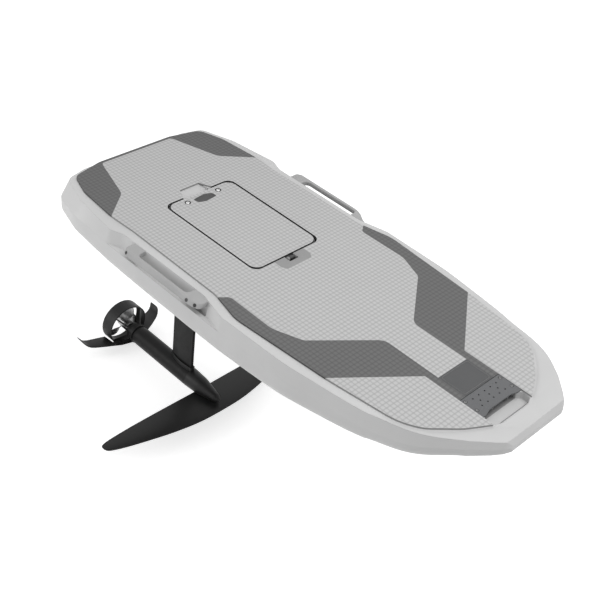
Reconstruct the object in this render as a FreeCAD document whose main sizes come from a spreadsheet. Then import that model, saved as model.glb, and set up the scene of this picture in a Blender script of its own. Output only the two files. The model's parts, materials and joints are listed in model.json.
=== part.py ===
import FreeCAD, Part
import math
import os

import Sketcher

# Electric hydrofoil surfboard, in millimetres.
# +X points to the nose, +Y to port, +Z up.
# The origin is at mid-length on the centre line, at the height of the resting waterline.

V = FreeCAD.Vector
doc = FreeCAD.newDocument("hydrofoil_board")

# Driving dimensions: word, value, meaning
SIZES = (
    ("board_length", 1802, "tail edge to nose edge"),
    ("joint_x", "=0.3108 * board_length", "where the parallel hull meets the lofted nose"),
    ("half_beam", 388, "centre line to the widest point of the rail"),
    ("hull_height", 146, "keel to the moulded deck"),
    ("draught", 37, "keel below the resting waterline"),
    ("rocker_run", 1031, "rising bottom, from its start to the nose"),
    ("rocker_rise", 90, "height that the even rise of the bottom would gain at the nose"),
    ("tail_lift_run", 571, "rising bottom, from its start to the tail"),
    ("tail_lift", 30, "height that the bottom gains at the tail"),
    ("chine_radius", 36, "rounding between wall and bottom"),
    ("wall_lean", 10, "how far the upper wall leans inward"),
    ("shoulder_width", 24, "width of the sloping shoulder beside the pad"),
    ("shoulder_drop", 2, "fall of the shoulder from deck to crease"),
    ("pad_thickness", 6, "foam grip pad"),
    ("pad_margin", 62, "pad edge inside the widest rail"),
    ("fit_gap", 0.3, "clearance between seated pieces"),
    ("shaft_gap", 0.05, "radial clearance of pins and shafts"),
    ("waist_rear", "=-0.297 * board_length", "rear end of the scooped handle recess"),
    ("waist_front", "=-0.0244 * board_length", "front end of the scooped handle recess"),
    ("waist_half_beam", "=half_beam - 28", "centre line to the recess wall"),
    ("waist_depth", 52, "recess floor below the moulded deck"),
    ("hatch_rear", "=-0.3052 * board_length", "rear end of the battery hatch opening"),
    ("hatch_length", 454, "battery hatch opening along the board"),
    ("hatch_width", 296, "battery hatch opening across the board"),
    ("hatch_corner", 30, "corner radius of the hatch opening"),
    ("lid_gap", 5.4, "free gap round the lid"),
    ("lid_thickness", 12, "moulded lid without its pad"),
    ("bay_inset", 24, "ledge on which the lid seal lies"),
    ("bay_depth", 116, "battery bay below the moulded deck"),
    ("seal_height", 4, "lid seal"),
    ("seal_width", 9, "lid seal"),
    ("battery_length", "=hatch_length - 82", "battery block along the board"),
    ("battery_width", "=hatch_width - 70", "battery block across the board"),
    ("battery_height", 78, "battery block"),
    ("hinge_offset", 13, "hinge axis in front of the hatch opening"),
    ("hinge_pin_radius", 2.5, "hinge pin"),
    ("knuckle_radius", 5.5, "hinge knuckle"),
    ("knuckle_length", 24, "hinge knuckle across the board"),
    ("mast_x", "=-0.3202 * board_length", "middle of the mast chord"),
    ("mast_chord", 121, "mast section along the board"),
    ("mast_thickness", 17, "mast section across the board"),
    ("pod_depth", 846, "drive pod axis below the top of the deck pad"),
    ("pod_radius", 38, "drive pod"),
    ("pod_tail_x", "=mast_x - 319", "rear face of the drive pod"),
    ("pod_front_x", "=mast_x + 57", "where the pod meets the nose fairing"),
    ("nose_tip_x", "=mast_x + 225", "tip of the nose fairing"),
    ("motor_length", 150, "motor block"),
    ("wing_half_span", 478, "front wing, centre line to tip"),
    ("wing_drop", 30, "front wing plane below the pod axis"),
    ("tail_half_span", 176, "stabiliser, centre line to the foot of the winglet"),
    ("duct_radius", 89, "outer radius of the propeller duct"),
    ("duct_wall", 5, "duct wall"),
    ("duct_length", 58, "duct along the shaft"),
    ("duct_front_x", "=pod_tail_x - 22", "front rim of the duct"),
    ("blade_gap", 5.2, "propeller tip to duct wall"),
    ("hub_radius", 22, "propeller hub"),
    ("shaft_radius", 6, "propeller shaft"),
    ("grip_reach", "=half_beam + 16", "centre line to the outer face of a side handle"),
    ("grip_width", 21, "side handle bar across the board"),
    ("grip_height", 19, "side handle bar"),
    ("grip_drop", 9, "side handle below the top of the deck pad"),
    ("bow_pocket_rear", "=board_length / 2 - 201", "rear wall of the bow pocket"),
    ("bow_pocket_front", "=board_length / 2 - 69", "front wall of the bow pocket"),
    ("bow_pocket_half_width", 92, "bow pocket"),
    ("bow_pocket_depth", 24, "bow pocket below the moulded deck"),
    ("bow_plate_length", 84, "bow handle plate along the board"),
    ("bow_plate_thickness", 5, "bow handle plate"),
    ("bow_plate_rear", "=board_length / 2 - 209", "rear edge of the bow handle plate"),
    ("bow_plate_dip", 8, "hollow in the front edge of the bow handle plate"),
    ("bow_ledge", 18, "ledge that carries each side of the bow handle plate"),
    ("label_length", 100, "blank name plate along the board"),
    ("label_half_width", 66, "blank name plate"),
    ("scoop_length", 44, "finger scoop behind the hatch"),
    ("scoop_depth", 15, "finger scoop below the moulded deck"),
    ("scoop_half_width", 52, "finger scoop"),
    ("ear_gap", 0.6, "hinge knuckle to each ear"),
    ("ear_width", 6, "hinge ear"),
    ("hinge_foot", 8, "foot of the hinge bracket in front of the ears"),
    ("hinge_cover_length", 52, "hinge cover along the board"),
    ("hinge_cover_half_width", 65, "hinge cover"),
    ("latch_half_length", 41, "latch grip across the board"),
    ("mast_plate_length", 190, "mast base plate"),
    ("mast_plate_width", 96, "mast base plate"),
    ("mast_plate_thickness", 8, "mast base plate"),
    ("collar_margin", 6, "mast collar outside the mast section"),
    ("collar_height", 18, "mast collar above the pod"),
    ("pod_wall", 5, "pod wall round the motor"),
    ("pod_tail_radius", 27, "rear end of the pod"),
    ("motor_inset", 66, "motor block in front of the rear of the pod"),
    ("nose_radius", 18, "nose fairing near its tip"),
    ("wing_lead_x", "=mast_x + 269", "front wing leading edge at the root"),
    ("wing_root_chord", 158, "front wing at the root"),
    ("wing_thickness", 17, "front wing at the root"),
    ("tail_wing_lead_x", "=mast_x - 289", "stabiliser leading edge at the root"),
    ("tail_wing_root_chord", 88, "stabiliser at the root"),
    ("tail_wing_thickness", 9, "stabiliser at the root"),
    ("winglet_height", 20, "winglet above the stabiliser"),
    ("tail_foot_height", 6, "gap that the foot of the stabiliser bridges below the pod"),
    ("tail_foot_length", 22, "foot of the stabiliser along the pod"),
    ("tail_foot_width", 16, "foot of the stabiliser across the pod"),
    ("hub_gap", 8, "propeller hub behind the pod"),
    ("hub_length", 66, "propeller hub"),
    ("nut_length", 20, "propeller nut"),
    ("strut_thickness", 4.5, "guard strut"),
    ("blade_count", 3, "propeller blades"),
    ("blade_setback", 42, "blade middle behind the front of the hub"),
    ("blade_advance", 160, "forward travel of the propeller in one turn"),
    ("blade_root_chord", 26, "blade at the hub"),
    ("blade_chord", 40, "blade at its widest"),
    ("blade_tip_chord", 30, "blade at its tip"),
)

sheet = doc.addObject("Spreadsheet::Sheet", "sizes")
for row, (alias, value, meaning) in enumerate(SIZES, start=1):
    sheet.set("A%d" % row, alias)
    sheet.set("C%d" % row, meaning)
    sheet.setAlias("B%d" % row, alias)
for row, (alias, value, meaning) in enumerate(SIZES, start=1):
    sheet.set("B%d" % row, str(value))
doc.recompute()


def size(alias):
    return float(sheet.get(alias))


# Heights and stations that follow from the driving dimensions
KEEL = -size("draught")
DECK = KEEL + size("hull_height")
PAD_TOP = DECK + size("pad_thickness")
TAIL = -size("board_length") / 2
NOSE = size("board_length") / 2
POD_Z = PAD_TOP - size("pod_depth")
HATCH_FRONT = size("hatch_rear") + size("hatch_length")
HATCH_MIDDLE = size("hatch_rear") + size("hatch_length") / 2
HINGE_X = HATCH_FRONT + size("hinge_offset")
HINGE_Z = PAD_TOP - 1

parts = []


# Shape helpers

def plane(body, role):
    for feature in body.Origin.OriginFeatures:
        if feature.Role == role:
            return feature
    raise ValueError(role)


def rounded(corners):
    """Lines and tangent arcs round a closed outline of (x, y, corner radius)."""
    points = [V(x, y, 0) for x, y, radius in corners]
    ends = []
    pieces = []
    count = len(corners)
    for i, (x, y, radius) in enumerate(corners):
        here = points[i]
        back = (points[i - 1] - here).normalize()
        ahead = (points[(i + 1) % count] - here).normalize()
        angle = back.getAngle(ahead)
        if radius <= 0 or abs(math.pi - angle) < 1e-4:
            ends.append((here, None, here))
            continue
        reach = radius / math.tan(angle / 2)
        middle = (back + ahead).normalize()
        centre = here + middle * (radius / math.sin(angle / 2))
        ends.append((here + back * reach, centre - middle * radius, here + ahead * reach))
    for i in range(count):
        start, top, end = ends[i]
        if top is not None:
            pieces.append(Part.Arc(start, top, end))
        following = ends[(i + 1) % count][0]
        if (following - end).Length > 1e-6:
            pieces.append(Part.LineSegment(end, following))
    return pieces


def both_sides(half):
    """Mirror a half outline of (x, y, radius), tail to nose, about the centre line."""
    return list(half) + [(x, -y, radius) for x, y, radius in reversed(half)]


def box_corners(x0, x1, y0, y1, radius):
    return [(x0, y0, radius), (x1, y0, radius), (x1, y1, radius), (x0, y1, radius)]


def new_body(name):
    body = doc.addObject("PartDesign::Body", name)
    body.Label = name
    return body


def sketch_on(body, role, pieces, shift=(0, 0, 0)):
    sketch = body.newObject("Sketcher::SketchObject", body.Name + "_outline")
    sketch.AttachmentSupport = [(plane(body, role), "")]
    sketch.MapMode = "FlatFace"
    sketch.AttachmentOffset = FreeCAD.Placement(V(*shift), FreeCAD.Rotation())
    sketch.addGeometry(pieces, False)
    return sketch


def circle_on(body, role, radius, shift=(0, 0, 0), at=(0, 0)):
    """Sketch of one circle whose radius is an expression of the sheet's words."""
    start = Part.Circle(V(at[0], at[1], 0), V(0, 0, 1), 1)
    sketch = sketch_on(body, role, [start], shift)
    sketch.addConstraint(Sketcher.Constraint("Radius", 0, 1))
    sketch.setExpression("Constraints[0]", radius)
    return sketch


def pad(body, sketch, length, reverse=False, midplane=False):
    feature = body.newObject("PartDesign::Pad", body.Name + "_extrusion")
    feature.Profile = sketch
    feature.setExpression("Length", length)
    feature.Reversed = reverse
    feature.Midplane = midplane
    sketch.Visibility = False
    return feature


def pocket(body, sketch, length, reverse=False, midplane=False):
    """Cut a profile out of the body, and make sure that it removes something."""
    doc.recompute()
    before = body.Shape.Volume
    feature = body.newObject("PartDesign::Pocket", body.Name + "_cutout")
    feature.Profile = sketch
    feature.setExpression("Length", length)
    feature.Reversed = reverse
    feature.Midplane = midplane
    doc.recompute()
    if body.Shape.Volume >= before - 1:
        raise ValueError("a pocket of " + body.Label + " cuts nothing")
    return feature


def revolve(body, sketch, axis):
    feature = body.newObject("PartDesign::Revolution", body.Name + "_revolved")
    feature.Profile = sketch
    feature.ReferenceAxis = (plane(body, axis), [""])
    feature.Angle = 360
    return feature


def edges_at(shape, test):
    return ["Edge%d" % (i + 1) for i, edge in enumerate(shape.Edges) if test(edge.BoundBox)]


def word(name):
    return "sizes." + name


def finish(feature):
    parts.append(feature)
    return feature


# Outlines seen from above

def hull_stations(scooped, low):
    """Half outline of the wall, tail to nose: (x, y, corner radius). The tail corners are fuller low down."""
    beam = size("half_beam")
    rear = size("waist_rear")
    front = size("waist_front")
    scoop = beam - size("waist_half_beam")
    # station, inset from the widest rail, corner radius
    low_tail = ((TAIL, 106, 50), (TAIL + 26, 44, 60), (0.832 * TAIL, 14, 170), (rear - 18, 6, 40))
    high_tail = ((TAIL, 132, 90), (TAIL + 14, 78, 45), (0.832 * TAIL, 32, 170), (rear - 18, 8, 40))
    recess = ((rear + 34, scoop, 50), (front - 66, scoop, 80))
    bow = ((front + 44, 0, 60), (0.30 * NOSE, 5, NOSE), (0.60 * NOSE, 40, NOSE), (0.80 * NOSE, 92, 60))
    table = (low_tail if low else high_tail) + (recess if scooped else ()) + bow
    return [(x, beam - inset, radius) for x, inset, radius in table]


def inset_outline(stations, distance):
    """Mirror the half outline and move every side inward, the transom least."""
    transom_share = 0.12
    corners = both_sides(stations)
    count = len(corners)
    shares = [0 if i == len(stations) - 1 else 1 for i in range(count - 1)] + [transom_share]
    result = []
    for i, (x, y, radius) in enumerate(corners):
        here = V(x, y, 0)
        back = (here - V(corners[i - 1][0], corners[i - 1][1], 0)).normalize()
        ahead = (V(corners[(i + 1) % count][0], corners[(i + 1) % count][1], 0) - here).normalize()
        first = here + V(back.y, -back.x, 0) * distance * shares[i - 1]
        second = here + V(ahead.y, -ahead.x, 0) * distance * shares[i]
        # meeting point of the two moved sides
        gap = second - first
        turn = back.x * ahead.y - back.y * ahead.x
        moved = first + back * ((gap.x * ahead.y - gap.y * ahead.x) / turn)
        change = -distance if turn < 0 else distance
        result.append((moved.x, moved.y, max(radius + change, 8)))
    return result


def pad_half():
    beam = size("half_beam")
    margin = size("pad_margin")
    rear = size("waist_rear")
    front = size("waist_front")
    # station, inset from the widest rail, corner radius
    table = (
        (TAIL + 4, margin + 168, 90),
        (TAIL + 32, margin + 46, 40),
        (0.856 * TAIL, margin + 14, 160),
        (rear - 70, margin, 300),
        (rear + 40, margin + 6, 300),
        (front - 40, margin + 1, 120),
        (front + 82, margin - 28, 160),
        (0.433 * NOSE, margin - 2, 700),
        (0.710 * NOSE, margin + 32, 200),
        (0.777 * NOSE, margin + 70, 120),
        (0.855 * NOSE, margin + 156, 200),
        (0.917 * NOSE, margin + 258, 60),
    )
    return [(x, beam - inset, radius) for x, inset, radius in table]


# Moulded hull

hull = new_body("hull")
FLOOR = DECK - size("waist_depth")
plan = sketch_on(hull, "XY_Plane", rounded(inset_outline(hull_stations(False, True), 0)), (0, 0, KEEL))
pad(hull, plan, "%s - %s" % (word("hull_height"), word("waist_depth")))

crease = DECK - size("shoulder_drop")
levels = (
    (FLOOR, 0),
    (crease, size("wall_lean")),
    (DECK, size("wall_lean") + size("shoulder_width")),
)
rings = []
for height, distance in levels:
    outline = rounded(inset_outline(hull_stations(True, height == FLOOR), distance))
    rings.append(sketch_on(hull, "XY_Plane", outline, (0, 0, height)))
upper = hull.newObject("PartDesign::AdditiveLoft", "hull_upper")
upper.Profile = rings[0]
upper.Sections = rings[1:]
upper.Ruled = True
doc.recompute()



def bottom_rise(start, end, rise):
    """Profile between the flat keel and an arc that leaves it gently, with the space below it."""
    run = end - start
    arc_radius = (run ** 2 + rise ** 2) / (2 * rise)
    half_turn = math.asin(abs(run) / arc_radius) / 2
    middle = V(start + math.copysign(arc_radius * math.sin(half_turn), run),
               KEEL + arc_radius * (1 - math.cos(half_turn)), 0)
    top = V(end, KEEL + rise, 0)
    beyond = V(end + math.copysign(40, run), KEEL + rise + 40 * math.tan(2 * half_turn), 0)
    below = KEEL - 30
    return [
        Part.Arc(V(start, KEEL, 0), middle, top), Part.LineSegment(top, beyond),
        Part.LineSegment(beyond, V(beyond.x, below, 0)),
        Part.LineSegment(V(beyond.x, below, 0), V(start, below, 0)),
        Part.LineSegment(V(start, below, 0), V(start, KEEL, 0)),
    ]


rocker_start = NOSE - size("rocker_run")
lift_start = TAIL + size("tail_lift_run")
across = "2 * %s + 100" % word("half_beam")
pocket(hull, sketch_on(hull, "XZ_Plane", bottom_rise(rocker_start, NOSE, size("rocker_rise"))), across, midplane=True)
pocket(hull, sketch_on(hull, "XZ_Plane", bottom_rise(lift_start, TAIL, size("tail_lift"))), across, midplane=True)


def dress_edges(kind, names, **values):
    base = hull.Tip
    feature = hull.newObject("PartDesign::" + kind, "hull_" + kind.lower())
    feature.Base = (base, names)
    for key, value in values.items():
        if isinstance(value, str) and value.startswith("sizes."):
            feature.setExpression(key, value)
        else:
            setattr(feature, key, value)
    doc.recompute()
    if "Invalid" in feature.State or feature.Shape.isNull():
        raise ValueError(feature.Name + " failed")
    return feature


def on_bottom(box):
    low = box.ZMax < FLOOR - 5
    upright = box.XLength < 1 and box.ZLength > 5
    inside = box.XLength < 1 and box.YLength > 300 and TAIL + 1 < box.XMin < 0.79 * NOSE
    return low and not upright and not inside


dress_edges("Fillet", edges_at(hull.Shape, on_bottom), Radius=word("chine_radius"))

# Nose, lofted forward from the cut end of the hull
JOINT = size("joint_x")
front_cut = sketch_on(hull, "XY_Plane", rounded(box_corners(
    JOINT, NOSE + 10, -size("half_beam") - 10, size("half_beam") + 10, 0)), (0, 0, KEEL - 40))
pocket(hull, front_cut, word("hull_height") + " + 100", reverse=True)
cut_faces = ["Face%d" % (i + 1) for i, face in enumerate(hull.Shape.Faces)
             if face.BoundBox.XLength < 0.001 and face.BoundBox.XMin > JOINT - 1]
if len(cut_faces) != 1:
    raise ValueError("the hull has no single face at the joint")
joint_half = hull.Shape.getElement(cut_faces[0]).BoundBox.YMax


def hull_ring(station, crease_half, crease_z, deck_half, deck_z, bottom_z, chine):
    """Section across the nose: bottom, round chine, wall, leaning wall, shoulder and deck."""
    rail = crease_half + size("wall_lean")
    corner = chine * (1 - math.sqrt(0.5))
    wall_top = bottom_z + chine + 10
    side = [
        Part.Arc(V(rail - chine, bottom_z, 0), V(rail - corner, bottom_z + corner, 0), V(rail, bottom_z + chine, 0)),
        Part.LineSegment(V(rail, bottom_z + chine, 0), V(rail, wall_top, 0)),
        Part.LineSegment(V(rail, wall_top, 0), V(crease_half, crease_z, 0)),
        Part.LineSegment(V(crease_half, crease_z, 0), V(deck_half, deck_z, 0)),
    ]
    other = [
        Part.LineSegment(V(-deck_half, deck_z, 0), V(-crease_half, crease_z, 0)),
        Part.LineSegment(V(-crease_half, crease_z, 0), V(-rail, wall_top, 0)),
        Part.LineSegment(V(-rail, wall_top, 0), V(-rail, bottom_z + chine, 0)),
        Part.Arc(V(-rail, bottom_z + chine, 0), V(corner - rail, bottom_z + corner, 0), V(chine - rail, bottom_z, 0)),
    ]
    deck_line = Part.LineSegment(V(deck_half, deck_z, 0), V(-deck_half, deck_z, 0))
    bottom_line = Part.LineSegment(V(chine - rail, bottom_z, 0), V(rail - chine, bottom_z, 0))
    return sketch_on(hull, "YZ_Plane", side + [deck_line] + other + [bottom_line], (0, 0, station))


# share of the nose length, crease half width, crease over deck, flat deck half width, deck rise,
# bottom over keel, chine radius; widths are shares of the joint's half width
NOSE_RINGS = (
    (0.205, 0.920, 4, 0.872, 0, 50, 40),
    (0.381, 0.868, 9, 0.786, 0, 64, 36),
    (0.607, 0.739, 17, 0.534, 0, 90, 30),
    (0.757, 0.619, 21, 0.270, 0, 104, 25),
    (0.900, 0.475, 23, 0.132, 13, 117, 18),
    (0.965, 0.399, 24, 0.088, 21, 125, 14),
    (1.000, 0.330, 3, 0.075, 3, 133, 5),
)
nose_rings = [(hull.Tip, cut_faces)]
for share, width, lift, flat_share, deck_lift, bottom_lift, chine in NOSE_RINGS:
    nose_rings.append(hull_ring(
        JOINT + share * (NOSE - JOINT), width * joint_half, DECK + lift, flat_share * joint_half,
        DECK + deck_lift, KEEL + bottom_lift, chine))


def nose_loft(name, rings, ruled):
    loft = hull.newObject("PartDesign::AdditiveLoft", name)
    loft.Profile = rings[0]
    loft.Sections = rings[1:]
    loft.Ruled = ruled
    doc.recompute()
    return loft


nose_loft("hull_bow", nose_rings[:5], False)
nose_loft("hull_nose", nose_rings[4:7], True)
nose_loft("hull_nose_edge", nose_rings[6:], True)

# Flat foot for the mast in the rising bottom
foot = sketch_on(hull, "XY_Plane", rounded(box_corners(
    size("mast_x") - size("mast_plate_length") / 2 - 8, size("mast_x") + size("mast_plate_length") / 2 + 8,
    -size("mast_plate_width") / 2 - 8, size("mast_plate_width") / 2 + 8, 24)), (0, 0, KEEL))
pad(hull, foot, word("tail_lift") + " + 4")

# Battery hatch and bay in the hull
rebate_depth = "%s + %s + %s" % (word("lid_thickness"), word("seal_height"), word("fit_gap"))
hatch_half = size("hatch_width") / 2
hatch_rear = size("hatch_rear")
opening = sketch_on(hull, "XY_Plane", rounded(box_corners(
    hatch_rear, HATCH_FRONT, -hatch_half, hatch_half, size("hatch_corner"))), (0, 0, DECK))
pocket(hull, opening, rebate_depth)
inset = size("bay_inset")
bay = sketch_on(hull, "XY_Plane", rounded(box_corners(
    hatch_rear + inset, HATCH_FRONT - inset, -hatch_half + inset, hatch_half - inset,
    size("hatch_corner") - 8)), (0, 0, DECK))
pocket(hull, bay, word("bay_depth"))

# Finger scoop behind the hatch, deepest at the lid
SCOOP_REAR = hatch_rear - size("scoop_length")
scoop_side = sketch_on(hull, "XZ_Plane", [
    Part.LineSegment(V(SCOOP_REAR, DECK + 5, 0), V(hatch_rear + 1, DECK + 5, 0)),
    Part.LineSegment(V(hatch_rear + 1, DECK + 5, 0), V(hatch_rear + 1, DECK - size("scoop_depth"), 0)),
    Part.LineSegment(V(hatch_rear + 1, DECK - size("scoop_depth"), 0), V(SCOOP_REAR, DECK - 1, 0)),
    Part.LineSegment(V(SCOOP_REAR, DECK - 1, 0), V(SCOOP_REAR, DECK + 5, 0)),
])
pocket(hull, scoop_side, "2 * " + word("scoop_half_width"), midplane=True)

# Recess under the lid hinge
hinge_floor = HINGE_Z - size("knuckle_radius") - 12
ear_reach = size("knuckle_length") / 2 + size("ear_gap") + size("ear_width")
recess_half = ear_reach + size("fit_gap")
HINGE_FRONT = HINGE_X + size("knuckle_radius") + size("hinge_foot")
hinge_recess = sketch_on(hull, "XY_Plane", rounded(box_corners(
    HATCH_FRONT - 4, HINGE_FRONT + size("fit_gap"), -recess_half, recess_half, 0)), (0, 0, DECK))
pocket(hull, hinge_recess, "%s - %s" % (DECK, hinge_floor))

# Bow pocket, narrower where the plate bridges it
PLATE_REAR = size("bow_plate_rear")
PLATE_FRONT = PLATE_REAR + size("bow_plate_length")
under_half = size("bow_pocket_half_width") - size("bow_ledge")
pocket_front = size("bow_pocket_front")
pocket_half = size("bow_pocket_half_width")
half = [
    (size("bow_pocket_rear"), under_half, 12),
    (PLATE_FRONT - 4, under_half, 10),
    (PLATE_FRONT + 6, pocket_half, 6),
    (pocket_front - 22, pocket_half - 2, 12),
    (pocket_front, pocket_half - 52, 90),
]
bow = sketch_on(hull, "XY_Plane", rounded(both_sides(half)), (0, 0, DECK))
pocket(hull, bow, word("bow_pocket_depth"))
finish(hull)


# Foam grip pads

def prism(name, corners, base=None, height=None):
    """Upright solid on an outline, by default as thick as the pad and on the deck."""
    body = new_body(name)
    level = DECK if base is None else base
    pad(body, sketch_on(body, "XY_Plane", rounded(corners), (0, 0, level)), height or word("pad_thickness"))
    return body


def boolean(kind, name, base, tools):
    if len(tools) > 1:
        joined = doc.addObject("Part::MultiFuse", name + "_tools")
        joined.Shapes = tools
    else:
        joined = tools[0]
    result = doc.addObject("Part::" + kind, name)
    result.Label = name
    result.Base = base
    result.Tool = joined
    return result


def side_panel(side):
    """Dark panel from the pad edge inward to the strips beside the name plate."""
    beam = size("half_beam")
    front = size("waist_front")
    strip = size("bow_pocket_half_width")
    # station, half width, corner radius
    table = (
        (front - 56, beam + 20, 0), (front - 30, 0.871 * beam, 0), (front - 2, 0.768 * beam, 22),
        (0.155 * NOSE, 0.773 * beam, 90), (0.262 * NOSE, 0.675 * beam, 22),
        (0.426 * NOSE, size("label_half_width"), 40), (PLATE_REAR, size("label_half_width"), 0),
        (PLATE_REAR, strip, 0), (0.626 * NOSE, strip, 0), (0.4284 * NOSE, 0.861 * beam, 0),
        (0.4284 * NOSE, beam + 20, 0),
    )
    return [(x, side * y, radius) for x, y, radius in table]


edge = size("half_beam")
tail_panel = both_sides([
    (TAIL - 20, edge, 0), (size("waist_rear") - 50, edge, 0), (size("waist_rear") - 65, edge - 58, 0),
    (0.768 * TAIL, 0.557 * edge, 55), (TAIL + 16, 0.402 * edge, 16),
])
blank = prism("deck_pad_blank", both_sides(pad_half()))
tail_prism = prism("tail_panel_blank", tail_panel)
side_prisms = [prism("side_panel_blank_%d" % i, side_panel(side)) for i, side in enumerate((1, -1))]
scoop_half = size("scoop_half_width")
hatch_cut = prism("hatch_cut", box_corners(hatch_rear, HATCH_FRONT, -hatch_half, hatch_half, size("hatch_corner")))
scoop_cut = prism("scoop_cut", [
    (SCOOP_REAR, -scoop_half + 10, 0), (hatch_rear + 2, -scoop_half - 12, 0),
    (hatch_rear + 2, scoop_half + 12, 0), (SCOOP_REAR, scoop_half - 10, 0)])
cover_half = size("hinge_cover_half_width")
COVER_FRONT = HATCH_FRONT + size("hinge_cover_length")
cover_outline = [
    (HATCH_FRONT, -cover_half, 0), (COVER_FRONT - 18, -cover_half, 8), (COVER_FRONT, -cover_half + 12, 8),
    (COVER_FRONT, cover_half - 12, 8), (COVER_FRONT - 18, cover_half, 8), (HATCH_FRONT, cover_half, 0),
]
cover_cut = prism("cover_cut", [(x - (2 if x == HATCH_FRONT else 0), y, r) for x, y, r in cover_outline])
label_half = size("label_half_width")
LABEL_REAR = PLATE_REAR - size("label_length")
label_cut = prism("label_cut", box_corners(LABEL_REAR, PLATE_REAR + 2, -label_half, label_half, 0))
bow_cut = prism("bow_cut", box_corners(PLATE_REAR, NOSE, -pocket_half, pocket_half, 0))
fittings = [hatch_cut, scoop_cut, cover_cut, label_cut, bow_cut]
finish(boolean("Cut", "deck_pad_light", blank, fittings + [tail_prism] + side_prisms))
finish(boolean("Common", "tail_pad_dark", blank, [tail_prism]))
for name, tool in zip(("side_pad_port", "side_pad_starboard"), side_prisms):
    whole = boolean("Common", name + "_whole", blank, [tool])
    finish(boolean("Cut", name, whole, [bow_cut]))
finish(prism("name_plate_blank", box_corners(LABEL_REAR, PLATE_REAR, -label_half, label_half, 0)))

# Bow handle plate
bow_plate = new_body("bow_handle_plate")
plate_half = pocket_half
dip = size("bow_plate_dip")
pad(bow_plate, sketch_on(bow_plate, "XY_Plane", rounded([
    (PLATE_REAR, -plate_half, 3), (PLATE_FRONT, -plate_half, 4), (PLATE_FRONT, -plate_half + 16, 14),
    (PLATE_FRONT - dip, -plate_half + 42, 60), (PLATE_FRONT - dip, plate_half - 42, 60),
    (PLATE_FRONT, plate_half - 16, 14), (PLATE_FRONT, plate_half, 4), (PLATE_REAR, plate_half, 3),
]), (0, 0, DECK)), word("bow_plate_thickness"))
finish(bow_plate)


# Battery, seal, lid and hinge

BAY_FLOOR = DECK - size("bay_depth")
battery = prism("battery_pack", box_corners(
    HATCH_MIDDLE - size("battery_length") / 2, HATCH_MIDDLE + size("battery_length") / 2,
    -size("battery_width") / 2, size("battery_width") / 2, 14), BAY_FLOOR, word("battery_height"))
finish(battery)

SEAL_BASE = DECK - size("lid_thickness") - size("seal_height") - size("fit_gap")
seal = new_body("hatch_seal")
outer = inset - 3
inner = outer - size("seal_width")


def hatch_ring(move, radius):
    return rounded(box_corners(
        hatch_rear + move, HATCH_FRONT - move, -hatch_half + move, hatch_half - move, radius))


pad(seal, sketch_on(seal, "XY_Plane", hatch_ring(inner, 20), (0, 0, SEAL_BASE)), word("seal_height"))
pocket(seal, sketch_on(seal, "XY_Plane", hatch_ring(outer, 14), (0, 0, SEAL_BASE)),
       word("seal_height"), reverse=True)
finish(seal)

lid_inset = size("lid_gap")
LID_BASE = DECK - size("lid_thickness")
LID_FRONT = HATCH_FRONT - lid_inset
LID_REAR = hatch_rear + lid_inset
lid = new_body("hatch_lid")
pad(lid, sketch_on(lid, "XY_Plane", hatch_ring(lid_inset, size("hatch_corner") - lid_inset), (0, 0, LID_BASE)),
    word("lid_thickness"))
arm = sketch_on(lid, "XZ_Plane", rounded([
    (LID_FRONT - 3, LID_BASE + 1, 0), (HINGE_X - 1, HINGE_Z - size("knuckle_radius") + 0.5, 0),
    (HINGE_X - 1, HINGE_Z + size("knuckle_radius") - 0.5, 0), (LID_FRONT + 1, DECK, 0), (LID_FRONT - 3, DECK, 0),
]))
pad(lid, arm, word("knuckle_length"), midplane=True)
pad(lid, circle_on(lid, "XZ_Plane", word("knuckle_radius"), at=(HINGE_X, HINGE_Z)),
    word("knuckle_length"), midplane=True)
pocket(lid, circle_on(lid, "XZ_Plane", word("hinge_pin_radius") + " + " + word("shaft_gap"), at=(HINGE_X, HINGE_Z)),
       word("knuckle_length") + " + 2", midplane=True)
finish(lid)

lid_pad = new_body("hatch_lid_pad")
pad(lid_pad, sketch_on(lid_pad, "XY_Plane",
    hatch_ring(lid_inset, size("hatch_corner") - lid_inset), (0, 0, DECK)), word("pad_thickness"))
latch_x = hatch_rear + 46
latch_half = size("latch_half_length")
latch_corners = [
    (latch_x - 10, -latch_half + 12, 4), (latch_x - 10, latch_half - 12, 4), (latch_x, latch_half, 3),
    (latch_x + 10, latch_half - 12, 4), (latch_x + 10, -latch_half + 12, 4), (latch_x, -latch_half, 3),
]
pocket(lid_pad, sketch_on(lid_pad, "XY_Plane", rounded(latch_corners), (0, 0, DECK)),
       word("pad_thickness"), reverse=True)
finish(lid_pad)
finish(prism("hatch_latch", latch_corners))

bracket = new_body("hinge_bracket")
ear_half = size("knuckle_radius") + 1
pad(bracket, sketch_on(bracket, "XZ_Plane", rounded([
    (HINGE_X - ear_half, hinge_floor, 0), (HINGE_FRONT, hinge_floor, 0), (HINGE_FRONT, hinge_floor + 4, 0),
    (HINGE_X + ear_half, hinge_floor + 4, 0), (HINGE_X + ear_half, HINGE_Z + ear_half, 5),
    (HINGE_X - ear_half, HINGE_Z + ear_half, 5),
])), "2 * %s" % ear_reach, midplane=True)
slot_half = size("knuckle_length") / 2 + size("ear_gap")
pocket(bracket, sketch_on(bracket, "XY_Plane", rounded(box_corners(
    HINGE_X - 20, HINGE_X + 20, -slot_half, slot_half, 0)), (0, 0, hinge_floor + 4)), "40", reverse=True)
pocket(bracket, circle_on(bracket, "XZ_Plane", word("hinge_pin_radius") + " + " + word("shaft_gap"),
       at=(HINGE_X, HINGE_Z)), "4 * %s" % ear_reach, midplane=True)
finish(bracket)

pin = new_body("hinge_pin")
pad(pin, circle_on(pin, "XZ_Plane", word("hinge_pin_radius"), at=(HINGE_X, HINGE_Z)),
    "2 * %s" % ear_reach, midplane=True)
finish(pin)

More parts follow.
